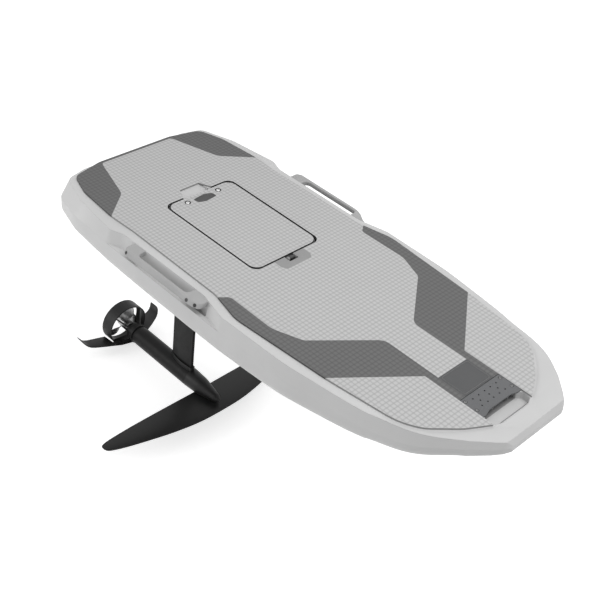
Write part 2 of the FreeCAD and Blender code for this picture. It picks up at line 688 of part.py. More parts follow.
cover = prism("hinge_cover", cover_outline)
pocket(cover, sketch_on(cover, "XY_Plane", rounded(box_corners(
    HATCH_FRONT - 4, HINGE_FRONT + size("fit_gap"), -recess_half, recess_half, 0)), (0, 0, DECK)),
    word("pad_thickness"), reverse=True)
finish(cover)


# Side handles, each a D-shaped loop seated in the scooped rail

def side_handle(side, name):
    reach = size("grip_reach")
    inside = reach - size("grip_width")
    seat = size("waist_half_beam") - size("wall_lean") - size("shoulder_width") - 6
    rear = size("waist_rear") + 87
    front = size("waist_front") - 36
    span = front - rear
    rear_lug = rear + 0.13 * span
    front_lug = front - 0.14 * span
    loop = [
        (rear, seat, 0), (rear, reach - 30, 20), (rear + 0.10 * span, reach, 40), (front - 0.20 * span, reach, 80),
        (front, reach - 26, 22), (front, seat, 0), (front_lug, seat, 0),
        (front_lug, inside, 12), (rear_lug, inside, 12), (rear_lug, seat, 0),
    ]
    top = PAD_TOP - size("grip_drop")
    blank_loop = prism(name + "_blank", [(x, side * y, r) for x, y, r in loop],
                       top - size("grip_height"), word("grip_height"))
    return finish(boolean("Cut", name, blank_loop, [hull]))


side_handle(1, "side_handle_port")
side_handle(-1, "side_handle_starboard")


# Mast, base plate and collar

MAST_X = size("mast_x")


def flat(u, v):
    return V(u, v, 0)


def foil_section(leading, trailing, thickness, place=flat):
    """Rounded nose, two long arcs and a thin blunt tail, as an outline in the section plane."""
    half_thick = thickness / 2
    blunt = 0.6
    nose_half = half_thick * 0.72
    shoulder = leading - half_thick * 0.9
    crest = leading - 0.36 * (leading - trailing)
    low_nose, high_nose = place(shoulder, -nose_half), place(shoulder, nose_half)
    low_tail, high_tail = place(trailing, -blunt), place(trailing, blunt)
    return [
        Part.Arc(low_nose, place(leading, 0), high_nose),
        Part.Arc(high_nose, place(crest, half_thick), high_tail),
        Part.LineSegment(high_tail, low_tail),
        Part.Arc(low_tail, place(crest, -half_thick), low_nose),
    ]


PLATE_BASE = KEEL - size("mast_plate_thickness")
mast_lead = MAST_X + size("mast_chord") / 2
mast_trail = MAST_X - size("mast_chord") / 2

plate = prism("mast_base_plate", box_corners(
    MAST_X - size("mast_plate_length") / 2, MAST_X + size("mast_plate_length") / 2,
    -size("mast_plate_width") / 2, size("mast_plate_width") / 2, 20), PLATE_BASE, word("mast_plate_thickness"))
finish(plate)

pod = new_body("drive_pod")
pod.Placement = FreeCAD.Placement(V(0, 0, POD_Z), FreeCAD.Rotation())
radius = size("pod_radius")
pod_tail = size("pod_tail_x")
pod_front = size("pod_front_x")
bore = size("shaft_radius") + size("shaft_gap")
motor_radius = radius - size("pod_wall")
MOTOR_REAR = pod_tail + size("motor_inset")
MOTOR_FRONT = MOTOR_REAR + size("motor_length")
chamber = motor_radius + size("fit_gap")
pod_points = [
    (pod_tail, bore), (pod_tail, size("pod_tail_radius")), (pod_tail + 60, radius), (pod_front, radius),
    (pod_front, 0), (MOTOR_FRONT + size("fit_gap"), 0), (MOTOR_FRONT + size("fit_gap"), chamber),
    (MOTOR_REAR - size("fit_gap"), chamber), (MOTOR_REAR - size("fit_gap"), bore),
]
pod_corner = {(pod_tail, size("pod_tail_radius")): 6, (pod_tail + 60, radius): 120}
revolve(pod, sketch_on(pod, "XZ_Plane", rounded(
    [(x, r, pod_corner.get((x, r), 0)) for x, r in pod_points])), "X_Axis")
finish(pod)

motor = new_body("drive_motor")
pad(motor, circle_on(motor, "YZ_Plane", "%s - %s" % (word("pod_radius"), word("pod_wall")),
    shift=(0, 0, MOTOR_REAR), at=(0, POD_Z)), word("motor_length"))
finish(motor)

mast_blank = new_body("mast_blank")
pad(mast_blank, sketch_on(mast_blank, "XY_Plane",
    foil_section(mast_lead, mast_trail, size("mast_thickness")), (0, 0, POD_Z)),
    "%s - %s" % (PLATE_BASE, POD_Z))

collar_margin = size("collar_margin")
collar_blank = new_body("mast_collar_blank")
pad(collar_blank, sketch_on(collar_blank, "XY_Plane", foil_section(
    mast_lead + collar_margin, mast_trail - collar_margin, size("mast_thickness") + 2 * collar_margin),
    (0, 0, POD_Z)), "%s + %s" % (word("pod_radius"), word("collar_height")))
mast_space = new_body("mast_space")
pad(mast_space, sketch_on(mast_space, "XY_Plane", foil_section(
    mast_lead + size("fit_gap"), mast_trail - size("fit_gap"), size("mast_thickness") + 2 * size("fit_gap")),
    (0, 0, POD_Z - 10)), "%s + %s + 20" % (word("pod_radius"), word("collar_height")))


# Front wing, nose fairing and stabiliser

def wing(name, table, plane_z, ratio):
    """Loft half a wing from root to tip, then mirror it about the centre line."""
    body = new_body(name)
    rings = []
    for station, leading, trailing, lift in table:
        outline = foil_section(leading, trailing, max((leading - trailing) * ratio, 3))
        rings.append(sketch_on(body, "XZ_Plane", outline, (0, plane_z + lift, -station)))
    loft = body.newObject("PartDesign::AdditiveLoft", name + "_loft")
    loft.Profile = rings[0]
    loft.Sections = rings[1:]
    doc.recompute()
    mirror = body.newObject("PartDesign::Mirrored", name + "_mirror")
    mirror.Originals = [loft]
    mirror.MirrorPlane = (plane(body, "XZ_Plane"), [""])
    body.Tip = mirror
    doc.recompute()
    return body


WING_Z = POD_Z - size("wing_drop")
WING_LEAD = size("wing_lead_x")
root = size("wing_root_chord")
span = size("wing_half_span")
# station from the centre line, leading edge, trailing edge, lift above the wing plane
wing_table = (
    (0, WING_LEAD, WING_LEAD - root, 0),
    (0.36 * span, WING_LEAD - 16, WING_LEAD - root - 6, 0),
    (0.70 * span, WING_LEAD - 58, WING_LEAD - root - 10, 0),
    (0.92 * span, WING_LEAD - 98, WING_LEAD - root - 4, 0),
    (span, WING_LEAD - 126, WING_LEAD - root + 12, 0),
)
front_wing = finish(wing("front_wing", wing_table, WING_Z, size("wing_thickness") / root))

fairing = new_body("nose_fairing_blank")
fairing.Placement = FreeCAD.Placement(V(0, 0, POD_Z), FreeCAD.Rotation())
tip = size("nose_tip_x")
fairing_points = [
    (pod_front, 0, 0), (pod_front, radius, 0), (pod_front + 60, radius - 3, 200),
    (tip - 22, size("nose_radius"), 24), (tip, 5, 4), (tip, 0, 0),
]
revolve(fairing, sketch_on(fairing, "XZ_Plane", rounded(fairing_points)), "X_Axis")
finish(boolean("Cut", "nose_fairing", fairing, [front_wing]))
finish(boolean("Cut", "mast", mast_blank, [pod, fairing]))
finish(boolean("Cut", "mast_collar", collar_blank, [pod, mast_space, fairing]))

TAIL_WING_Z = POD_Z - radius - size("tail_wing_thickness") / 2 - size("tail_foot_height")
TAIL_LEAD = size("tail_wing_lead_x")
tail_root = size("tail_wing_root_chord")
foot_half = size("tail_half_span")
rise = size("winglet_height")
# station from the centre line, leading edge, trailing edge, lift above the stabiliser plane
tail_table = (
    (0, TAIL_LEAD, TAIL_LEAD - tail_root, 0),
    (0.45 * foot_half, TAIL_LEAD - 20, TAIL_LEAD - tail_root - 8, 0),
    (0.82 * foot_half, TAIL_LEAD - 50, TAIL_LEAD - tail_root - 24, 0),
    (foot_half, TAIL_LEAD - 78, TAIL_LEAD - tail_root - 38, 0.25 * rise),
    (foot_half + 0.8 * rise, TAIL_LEAD - 112, TAIL_LEAD - tail_root - 56, rise),
)
tail_wing = wing("stabiliser_wing", tail_table, TAIL_WING_Z, size("tail_wing_thickness") / tail_root)
tail_foot = prism("stabiliser_foot", box_corners(
    TAIL_LEAD - 6 - size("tail_foot_length"), TAIL_LEAD - 6, -size("tail_foot_width") / 2,
    size("tail_foot_width") / 2, 6), TAIL_WING_Z, "%s" % (POD_Z - size("pod_tail_radius") - TAIL_WING_Z))
tail_blank = doc.addObject("Part::MultiFuse", "stabiliser_blank")
tail_blank.Shapes = [tail_wing, tail_foot]


# Propeller guard: duct, struts and the sleeve round the pod

def turned_pattern(body, feature, count):
    pattern = body.newObject("PartDesign::PolarPattern", body.Name + "_pattern")
    pattern.Originals = [feature]
    pattern.Axis = (plane(body, "X_Axis"), [""])
    pattern.Angle = 360
    pattern.Occurrences = count
    body.Tip = pattern
    doc.recompute()


guard = new_body("propeller_guard_blank")
guard.Placement = FreeCAD.Placement(V(0, 0, POD_Z), FreeCAD.Rotation(V(1, 0, 0), 45))
duct_out = size("duct_radius")
duct_in = duct_out - size("duct_wall")
duct_front = size("duct_front_x")
duct_rear = duct_front - size("duct_length")
lip = size("duct_wall") / 2 - 0.2
revolve(guard, sketch_on(guard, "XZ_Plane", rounded([
    (duct_rear, duct_in, lip), (duct_front, duct_in, lip), (duct_front, duct_out, lip), (duct_rear, duct_out, lip),
])), "X_Axis")
strut_root = size("pod_tail_radius") - 3
strut_tip = duct_in + size("duct_wall") / 2
strut = pad(guard, sketch_on(guard, "XZ_Plane", rounded([
    (pod_tail + 32, strut_root, 0), (pod_tail + 6, strut_root, 0),
    (duct_front - 22, strut_tip, 0), (duct_front - 4, strut_tip, 0),
])), word("strut_thickness"), midplane=True)
doc.recompute()
turned_pattern(guard, strut, 4)
revolve(guard, sketch_on(guard, "XZ_Plane", rounded([
    (pod_tail + 4, strut_root - 4, 0), (pod_tail + 46, strut_root - 4, 0),
    (pod_tail + 46, radius + 3, 0), (pod_tail + 4, size("pod_tail_radius") + 4, 0),
])), "X_Axis")
finish(boolean("Cut", "propeller_guard", guard, [pod]))

duct_envelope = new_body("duct_envelope")
pad(duct_envelope, circle_on(duct_envelope, "YZ_Plane", word("duct_radius"),
    shift=(0, 0, duct_front - size("duct_length") - 10), at=(0, POD_Z)), word("duct_length") + " + 10")
finish(boolean("Cut", "stabiliser", tail_blank, [duct_envelope, pod, guard]))


# Propeller, shaft and nut

blade_reach = duct_in - size("blade_gap")
HUB_FRONT = pod_tail - size("hub_gap")
HUB_REAR = HUB_FRONT - size("hub_length")
propeller = new_body("propeller")
propeller.Placement = FreeCAD.Placement(V(0, 0, POD_Z), FreeCAD.Rotation())
hub_radius = size("hub_radius")
revolve(propeller, sketch_on(propeller, "XZ_Plane", rounded([
    (HUB_REAR, 0, 0), (HUB_FRONT, 0, 0), (HUB_FRONT, hub_radius, 3), (HUB_REAR, hub_radius - 4, 3),
])), "X_Axis")
BLADE_X = HUB_FRONT - size("blade_setback")


def blade_section(distance, chord, thickness):
    """Section of a blade across its span, turned to its pitch at that distance from the shaft."""
    pitch = math.atan2(size("blade_advance"), 2 * math.pi * distance)

    def place(u, v):
        along = u * math.sin(pitch) + v * math.cos(pitch)
        across = u * math.cos(pitch) - v * math.sin(pitch)
        return V(BLADE_X + along, across, 0)

    outline = foil_section(chord / 2, -chord / 2, thickness, place)
    return sketch_on(propeller, "XY_Plane", outline, (0, 0, distance))


tip_chord = size("blade_tip_chord")
tip_height = math.sqrt(blade_reach ** 2 - (tip_chord / 2 + 1) ** 2)
# distance from the shaft, chord, thickness
blade_rings = [blade_section(*line) for line in (
    (hub_radius - 7, size("blade_root_chord"), 5.5),
    (0.6 * blade_reach, size("blade_chord"), 4),
    (tip_height, tip_chord, 2.4),
)]
blade = propeller.newObject("PartDesign::AdditiveLoft", "blade")
blade.Profile = blade_rings[0]
blade.Sections = blade_rings[1:]
doc.recompute()
turned_pattern(propeller, blade, int(size("blade_count")))
finish(propeller)

shaft = new_body("propeller_shaft")
pad(shaft, circle_on(shaft, "YZ_Plane", word("shaft_radius"), shift=(0, 0, HUB_FRONT), at=(0, POD_Z)),
    "%s - 1" % (MOTOR_REAR - HUB_FRONT))
finish(shaft)

nut = new_body("propeller_nut")
nut.Placement = FreeCAD.Placement(V(0, 0, POD_Z), FreeCAD.Rotation())
revolve(nut, sketch_on(nut, "XZ_Plane", rounded([
    (HUB_REAR - size("nut_length"), 0, 0), (HUB_REAR, 0, 0), (HUB_REAR, hub_radius - 6, 0),
    (HUB_REAR - size("nut_length"), 5, 6),
])), "X_Axis")
finish(nut)


# Check and export

def export_all():
    doc.recompute()
    os.makedirs("parts", exist_ok=True)
    for item in doc.Objects:
        if "Invalid" in item.State or "Error" in item.State:
            raise ValueError(item.Label + " failed")
    for part in parts:
        if part.Shape.isNull() or not part.Shape.isValid():
            raise ValueError(part.Label + " is not a valid shape")
        part.Shape.exportStep("parts/%s.step" % part.Label)
        print(part.Label, round(part.Shape.Volume / 1000), "cm3", part.Shape.BoundBox)


export_all()
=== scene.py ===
"""Electric hydrofoil surfboard: finishes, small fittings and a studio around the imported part."""

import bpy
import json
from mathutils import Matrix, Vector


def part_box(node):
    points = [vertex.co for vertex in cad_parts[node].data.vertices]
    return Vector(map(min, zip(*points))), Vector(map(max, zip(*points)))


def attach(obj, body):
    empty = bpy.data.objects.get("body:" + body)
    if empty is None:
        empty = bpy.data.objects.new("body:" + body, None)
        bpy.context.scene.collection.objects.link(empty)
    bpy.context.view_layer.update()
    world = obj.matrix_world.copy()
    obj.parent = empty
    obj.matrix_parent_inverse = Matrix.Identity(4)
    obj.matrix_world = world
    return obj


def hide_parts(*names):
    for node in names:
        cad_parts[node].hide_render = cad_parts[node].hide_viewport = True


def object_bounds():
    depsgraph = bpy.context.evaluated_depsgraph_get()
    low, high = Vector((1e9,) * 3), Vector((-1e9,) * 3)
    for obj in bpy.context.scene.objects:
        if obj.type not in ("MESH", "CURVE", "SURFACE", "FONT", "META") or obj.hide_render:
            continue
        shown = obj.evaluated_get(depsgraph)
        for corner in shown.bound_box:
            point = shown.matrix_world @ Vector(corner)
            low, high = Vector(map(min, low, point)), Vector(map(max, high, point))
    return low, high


bl_info = {
    "name": "Electric hydrofoil surfboard",
    "version": (1, 0, 0),
    "blender": (4, 5, 0),
    "location": "3D View > Sidebar > Hydrofoil",
    "description": "Finishes, small fittings and a studio for an electric hydrofoil surfboard",
    "category": "Object",
}

import json
import math

import bmesh
import bpy
from bpy.props import FloatProperty, FloatVectorProperty, PointerProperty
from mathutils import Matrix, Vector
from mathutils.geometry import tessellate_polygon

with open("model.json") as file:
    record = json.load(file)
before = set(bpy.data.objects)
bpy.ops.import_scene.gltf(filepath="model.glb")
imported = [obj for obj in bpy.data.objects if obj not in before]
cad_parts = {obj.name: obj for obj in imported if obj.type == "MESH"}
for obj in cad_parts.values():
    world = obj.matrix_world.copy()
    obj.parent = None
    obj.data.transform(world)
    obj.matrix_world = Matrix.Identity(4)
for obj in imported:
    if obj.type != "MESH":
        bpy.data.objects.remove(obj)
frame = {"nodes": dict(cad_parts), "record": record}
cad_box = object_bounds()

MM = 0.001
UP = Vector((0, 0, 1))
BOARD = "board"
HATCH = "hatch"
PROPELLER = "propeller_unit"


def grey(level, blue=0.0):
    """A neutral colour, linear, from a display level of 0 to 255, a little bluer if asked."""
    value = level / 255
    linear = value / 12.92 if value <= 0.04045 else ((value + 0.055) / 1.055) ** 2.4
    return (linear * (1 - blue / 2), linear, min(1.0, linear * (1 + blue)))


def colour_property(name, description, level, blue=0.0):
    return FloatVectorProperty(name=name, description=description, default=grey(level, blue),
                               subtype="COLOR", size=3, min=0.0, max=1.0)


def length_property(name, description, default):
    return FloatProperty(name=name, description=description, default=default, min=0.0,
                         subtype="DISTANCE", unit="LENGTH")


def number_property(name, description, default):
    return FloatProperty(name=name, description=description, default=default, min=0.0)


class BoardColours(bpy.types.PropertyGroup):
    hull: colour_property("Hull", "Moulded hull", 202)
    pad_light: colour_property("Light pad", "Grip pad over the deck", 190)
    pad_dark: colour_property("Dark pad", "Grip panels at the tail and the sides", 108)
    name_plate: colour_property("Name plate", "Blank plate behind the bow handle", 76, 0.03)
    bow_plate: colour_property("Bow handle", "Bow handle plate", 96, 0.04)
    side_handle: colour_property("Side handles", "Handle loops in the scooped rails", 168)
    hinge_cover: colour_property("Hinge cover", "Plate in front of the hatch", 148)
    latch: colour_property("Latch", "Latch grip in the hatch lid", 66)
    # dark rubber of the hatch opening and of the hinge stop; on the hull and on the pads' walls round the
    # hatch it also paints shade in the seam
    lining: colour_property("Hatch lining", "Rubber lining of the hatch opening", 46)
    black: colour_property("Black plastic", "Guard, collar and fairing", 28)
    foil: colour_property("Foils", "Front wing and stabiliser", 30)
    mast: colour_property("Mast and pod", "Anodised mast and drive pod", 28)
    propeller: colour_property("Propeller", "Cast blades, hub and nut", 165)
    steel: colour_property("Screws", "Polished steel", 225)


class FittingSizes(bpy.types.PropertyGroup):
    cell_pitch: length_property("Grip cell", "Pitch of the square cells of the grip pad", 0.01504)
    cell_offset_x: length_property("Cell offset X", "Middle of a cell along the board", 0.0031)
    cell_offset_y: length_property("Cell offset Y", "Middle of a cell across the board", 0.0127)
    handle_round: length_property("Handle rounding", "Rounding of the side handles", 0.0040)
    plate_round: length_property("Plate rounding", "Rounding of the plates' edges", 0.0012)
    lid_corner: length_property("Lid corner", "Corner radius of the lid's pad", 0.034)
    lid_inset: length_property("Lid pad inset", "Lid's pad inside the edge of the lid", 0.0008)
    latch_half: length_property("Latch", "Half span of the latch", 0.041)
    lid_screw: length_property("Lid screw", "Radius of a lid screw", 0.0068)
    lid_well: length_property("Lid screw well", "Radius of the well round a lid screw", 0.0112)
    handle_screw: length_property("Handle screw", "Radius of a side handle screw", 0.0060)
    plate_screw: length_property("Plate screw", "Radius of a bow plate screw", 0.0046)
    dimple: length_property("Drain hole", "Radius of a drain hole in the bow plate", 0.0026)
    blade_reach: length_property("Blade reach", "Tip of a propeller blade from the shaft", 0.0787)
    blade_advance: length_property("Blade advance", "Forward travel of the propeller in one turn", 0.160)
    hub_radius: length_property("Hub", "Radius of the propeller's hub", 0.022)
    mast_screw: length_property("Mast bolt", "Radius of a mast plate bolt", 0.0062)
    foil_screw: length_property("Foil bolt", "Radius of a foil bolt", 0.0045)


class StudioSettings(bpy.types.PropertyGroup):
    floor_gap: length_property("Floor gap", "Floor below the lowest point of the foil", 0.012)
    sky: number_property("Sky", "Strength of the even light from all round", 0.50)
    key: number_property("Key lamp", "Power of the lamp over the bow, in watts", 75.0)
    fill: number_property("Side lamp", "Power of the lamp at the tail, in watts", 36.0)


# Outlines and slabs

def arc_outline(corners, steps=6):
    """Points round a closed outline of (x, y, corner radius), in metres."""
    points = []
    count = len(corners)
    for i, (x, y, radius) in enumerate(corners):
        here = Vector((x, y))
        back = (Vector(corners[i - 1][:2]) - here).normalized()
        ahead = (Vector(corners[(i + 1) % count][:2]) - here).normalized()
        angle = back.angle(ahead)
        if radius <= 0 or math.pi - angle < 1e-3:
            points.append(here)
            continue
        middle = (back + ahead).normalized()
        centre = here + middle * (radius / math.sin(angle / 2))
        reach = radius / math.tan(angle / 2)
        start = here + back * reach - centre
        turn = math.pi - angle
        if back.x * ahead.y - back.y * ahead.x > 0:
            turn = -turn
        for k in range(steps + 1):
            a = turn * k / steps
            points.append(centre + Vector((start.x * math.cos(a) - start.y * math.sin(a),
                                           start.x * math.sin(a) + start.y * math.cos(a))))
    return points


def moved(corners, distance):
    """The same outline, given counter-clockwise, with every side moved inward."""
    result = []
    count = len(corners)
    for i, (x, y, radius) in enumerate(corners):
        here = Vector((x, y))
        back = (here - Vector(corners[i - 1][:2])).normalized()
        ahead = (Vector(corners[(i + 1) % count][:2]) - here).normalized()
        turn = back.x * ahead.y - back.y * ahead.x
        first = here + Vector((-back.y, back.x)) * distance
        second = here + Vector((-ahead.y, ahead.x)) * distance
        gap = second - first
        if abs(turn) < 1e-6:
            place = first
        else:
            place = first + back * ((gap.x * ahead.y - gap.y * ahead.x) / turn)
        change = -distance if turn > 0 else distance
        result.append((place.x, place.y, max(radius + change, 0.0002) if radius > 0 else 0))
    return result


def circle_corners(x, y, radius):
    return [(x - radius, y - radius, radius), (x + radius, y - radius, radius),
            (x + radius, y + radius, radius), (x - radius, y + radius, radius)]


def box_outline(x0, x1, y0, y1, radius):
    return [(x0, y0, radius), (x1, y0, radius), (x1, y1, radius), (x0, y1, radius)]


def add_ring(bm, points, height):
    return [bm.verts.new((p.x, p.y, height)) for p in points]


def join_rings(bm, lower, upper):
    count = len(lower)
    for i in range(count):
        j = (i + 1) % count
        bm.faces.new((lower[i], lower[j], upper[j], upper[i]))


def cap(bm, loops):
    """Triangles over an outline with holes."""
    verts = [v for loop in loops for v in loop]
    for a, b, c in tessellate_polygon([[v.co for v in loop] for loop in loops]):
        if len({verts[a], verts[b], verts[c]}) == 3:
            bm.faces.new((verts[a], verts[b], verts[c]))


def loft(bm, rings, hollow=False):
    """Skin over rings of one count, closed at both ends; a hollow end outline is closed by triangles."""
    for lower, upper in zip(rings, rings[1:]):
        join_rings(bm, lower, upper)
    for ring in (rings[0], rings[-1]):
        if hollow:
            cap(bm, [ring])
        else:
            bm.faces.new(ring)


def rounded_levels(low, high, top_round, bottom_round=0.0, steps=4):
    """(inset, height) of the rings of a plate with rounded edges, from its foot to its top."""
    levels = []
    if bottom_round > 0:
        for k in range(steps):
            a = math.pi / 2 * k / steps
            levels.append((bottom_round * (1 - math.sin(a)), low + bottom_round * (1 - math.cos(a))))
        levels.append((0.0, low + bottom_round))
    else:
        levels.append((0.0, low))
    for k in range(steps + 1):
        a = math.pi / 2 * k / steps
        levels.append((top_round * (1 - math.cos(a)), high - top_round * (1 - math.sin(a))))
    return levels


def add_slab(bm, corners, low, high, top_round, bottom_round=0.0, wells=()):
    """Plate on an outline with rounded edges; wells are (corners, depth, edge) sunk from the top."""
    levels = rounded_levels(low, high, top_round, bottom_round)
    rings = [add_ring(bm, arc_outline(moved(corners, inset)), height) for inset, height in levels]
    for lower, upper in zip(rings, rings[1:]):
        join_rings(bm, lower, upper)
    mouths = []
    for outline, depth, edge in wells:
        well = [
            add_ring(bm, arc_outline(moved(outline, -edge)), high),
            add_ring(bm, arc_outline(outline), high - edge),
            add_ring(bm, arc_outline(outline), high - depth),
        ]
        join_rings(bm, well[1], well[0])
        join_rings(bm, well[2], well[1])
        cap(bm, [well[2]])
        mouths.append(well[0])
    cap(bm, [rings[-1]] + mouths)
    cap(bm, [rings[0]])


def add_turned(bm, matrix, profile, segments=24, socket=()):
    """Turned solid of (radius, height) rings; the socket rings inside it follow a hexagon."""
    rings = []
    for radius, height, hexed in [(r, h, False) for r, h in profile] + [(r, h, True) for r, h in socket]:
        ring = []
        for k in range(segments):
            a = 2 * math.pi * k / segments
            reach = radius
            if hexed:
                reach = radius / math.cos((a + math.pi / 6) % (math.pi / 3) - math.pi / 6)
            ring.append(bm.verts.new(matrix @ Vector((reach * math.cos(a), reach * math.sin(a), height))))
        rings.append(ring)
    loft(bm, rings)


def facing(place, direction, turn=0.0):
    """Matrix that stands a turned piece on a place, with its axis along a direction."""
    spin = Vector(direction).to_track_quat("Z", "Y").to_matrix().to_4x4()
    return Matrix.Translation(Vector(place)) @ spin @ Matrix.Rotation(turn, 4, "Z")


def add_screw(bm, place, direction, radius, height, turn=0.0):
    """Round-edged head with a hexagon socket, its foot a little below the surface."""
    foot = -0.3 * height
    profile = [(radius, foot), (radius, 0.45 * height),
               (0.93 * radius, 0.8 * height), (0.80 * radius, height)]
    socket = [(0.42 * radius, height), (0.40 * radius, 0.15 * height)]
    add_turned(bm, facing(place, direction, turn), profile, socket=socket)


def make_piece(name, bm, body, material, replaced=(), sharp=35):
    bmesh.ops.recalc_face_normals(bm, faces=bm.faces)
    mesh = bpy.data.meshes.new(name)
    bm.to_mesh(mesh)
    bm.free()
    mesh.materials.append(material)
    mesh.shade_smooth()
    mesh.set_sharp_from_angle(angle=math.radians(sharp))
    piece = bpy.data.objects.new(name, mesh)
    bpy.context.scene.collection.objects.link(piece)
    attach(piece, body)
    if replaced:
        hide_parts(*replaced)
    return piece


# Materials

class Finish:
    """Node tree of one procedural material, built from its own coordinates."""

    def __init__(self, name, colour, roughness, metallic=0.0, coat=0.0, specular=0.5):
        self.material = bpy.data.materials.new(name)
        self.material.use_nodes = True
        self.tree = self.material.node_tree
        self.shader = self.tree.nodes["Principled BSDF"]
        self.colour = colour
        self.set("Base Color", (*colour, 1))
        self.set("Roughness", roughness)
        self.set("Metallic", metallic)
        self.set("Coat Weight", coat)
        self.set("Specular IOR Level", specular)
        self.place = self.tree.nodes.new("ShaderNodeTexCoord").outputs["Object"]
        self.normal = None

    def set(self, socket, value):
        self.shader.inputs[socket].default_value = value

    def link(self, source, target):
        self.tree.links.new(source, target)

    def node(self, kind, inputs=(), **settings):
        made = self.tree.nodes.new(kind)
        for key, value in settings.items():
            setattr(made, key, value)
        for key, value in dict(inputs).items():
            if isinstance(value, bpy.types.NodeSocket):
                self.link(value, made.inputs[key])
            else:
                made.inputs[key].default_value = value
        return made

    def maths(self, operation, first, second=0.0, clamp=False):
        made = self.node("ShaderNodeMath", {0: first, 1: second}, operation=operation, use_clamp=clamp)
        return made.outputs[0]

    def noise(self, scale, detail=3.0, stretch=(1, 1, 1)):
        place = self.node("ShaderNodeMapping", {"Vector": self.place, "Scale": stretch}).outputs["Vector"]
        inputs = {"Vector": place, "Scale": scale, "Detail": detail}
        return self.node("ShaderNodeTexNoise", inputs).outputs["Fac"]

    def blend(self, factor, first, second):
        made = self.node("ShaderNodeMix", data_type="RGBA")
        self.link(factor, made.inputs["Factor"])
        for socket, value in ((made.inputs[6], first), (made.inputs[7], second)):
            if isinstance(value, bpy.types.NodeSocket):
                self.link(value, socket)
            else:
                socket.default_value = (*value, 1)
        return made.outputs[2]

    def shades(self, factor, darkest, lightest):
        """The finish's colour, running between two shades of itself."""
        base = self.colour
        dark = tuple(darkest * c for c in base)
        light = tuple(min(1, lightest * c) for c in base)
        return self.blend(factor, dark, light)

    def spread(self, factor, low, high, start=0.3, end=0.7):
        inputs = {"Value": factor, "From Min": start, "From Max": end, "To Min": low, "To Max": high}
        return self.node("ShaderNodeMapRange", inputs).outputs["Result"]

    def round_edges(self, radius):
        self.normal = self.node("ShaderNodeBevel", {"Radius": radius}, samples=4).outputs["Normal"]
        return self

    def bump(self, height, distance, strength=1.0):
        inputs = {"Height": height, "Distance": distance, "Strength": strength}
        if self.normal:
            inputs["Normal"] = self.normal
        self.normal = self.node("ShaderNodeBump", inputs).outputs["Normal"]
        return self

    def done(self):
        if self.normal:
            self.link(self.normal, self.shader.inputs["Normal"])
        return self.material


def moulded(name, colour, roughness, grain=900.0, depth=0.00008, edge=0.0, variation=0.05, specular=0.5):
    """Moulded plastic: fine grain, a faint drift of colour and uneven gloss."""
    made = Finish(name, colour, roughness, specular=specular)
    if edge:
        made.round_edges(edge)
    drift = made.spread(made.noise(7.0), 0.0, 1.0)
    made.link(made.shades(drift, 1 - variation, 1 + variation), made.shader.inputs["Base Color"])
    gloss = made.spread(made.noise(40.0), roughness - 0.05, roughness + 0.05)
    made.link(gloss, made.shader.inputs["Roughness"])
    made.bump(made.noise(grain, 2.0), depth)
    return made


def foam(name, colour, sizes, wall=None):
    """Grip foam: square pillow cells with painted shade in their soft grooves, a fine closed-cell grain,
    painted shade on the cut walls and, where a wall colour is given, painted shade on the walls round the
    hatch.
    """
    made = Finish(name, colour, 0.85, specular=0.25)
    split = made.node("ShaderNodeSeparateXYZ", {0: made.place})
    waves = []
    for axis, offset in (("X", sizes.cell_offset_x), ("Y", sizes.cell_offset_y)):
        along = made.maths("SUBTRACT", split.outputs[axis], offset)
        angle = made.maths("MULTIPLY", along, math.pi / sizes.cell_pitch)
        waves.append(made.maths("ABSOLUTE", made.maths("COSINE", angle)))
    pillow = made.maths("POWER", made.maths("MULTIPLY", waves[0], waves[1]), 0.55)
    grain = made.noise(1500.0, 2.0)
    drift = made.spread(made.noise(9.0), -0.03, 0.03)
    # painted shade: the cells' colour darkens from their tops into the grooves
    shade = made.maths("ADD", made.spread(pillow, 0.0, 1.0, 0.1, 0.8), drift, clamp=True)
    skin = made.shades(shade, 0.80, 1.07)
    # painted shade: every face that does not face up takes a darker copy of the colour
    facing_up = made.node("ShaderNodeNewGeometry").outputs["True Normal"]
    upward = made.node("ShaderNodeSeparateXYZ", {0: facing_up}).outputs["Z"]
    flat = made.maths("GREATER_THAN", upward, 0.6)
    side = made.maths("SUBTRACT", 1.0, flat)
    skin = made.blend(side, skin, tuple(0.62 * c for c in colour))
    # painted shade in the hatch seam: the pad walls round the hatch opening take the wall colour
    if wall:
        gap = 0.0075
        skin = made.blend(made.maths("MULTIPLY", side, inside_box(made, *hatch_mouth(gap))), skin, wall)
    made.link(skin, made.shader.inputs["Base Color"])
    made.bump(made.maths("MULTIPLY", pillow, flat), 0.0011, 0.7)
    made.bump(grain, 0.00008)
    return made


def metal(name, colour, roughness, grain=(1, 1, 1), depth=0.00003, scale=700.0, metallic=1.0, specular=0.5):
    """Turned, cast or anodised metal with a directional grain."""
    made = Finish(name, colour, roughness, metallic=metallic, specular=specular)
    streak = made.noise(scale, 2.0, grain)
    made.link(made.shades(made.spread(streak, 0, 1), 0.93, 1.05), made.shader.inputs["Base Color"])
    gloss = made.spread(made.noise(60.0), roughness - 0.04, roughness + 0.06)
    made.link(gloss, made.shader.inputs["Roughness"])
    made.bump(streak, depth)
    return made


def hatch_mouth(rim, top=None):
    """Lowest and highest corner of the hatch opening, with a rim round the lid's pad."""
    low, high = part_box("hatch_lid_pad")
    return (low.x - rim, low.y - rim, 0.0), (high.x + rim, high.y + rim, high.z if top is None else top)


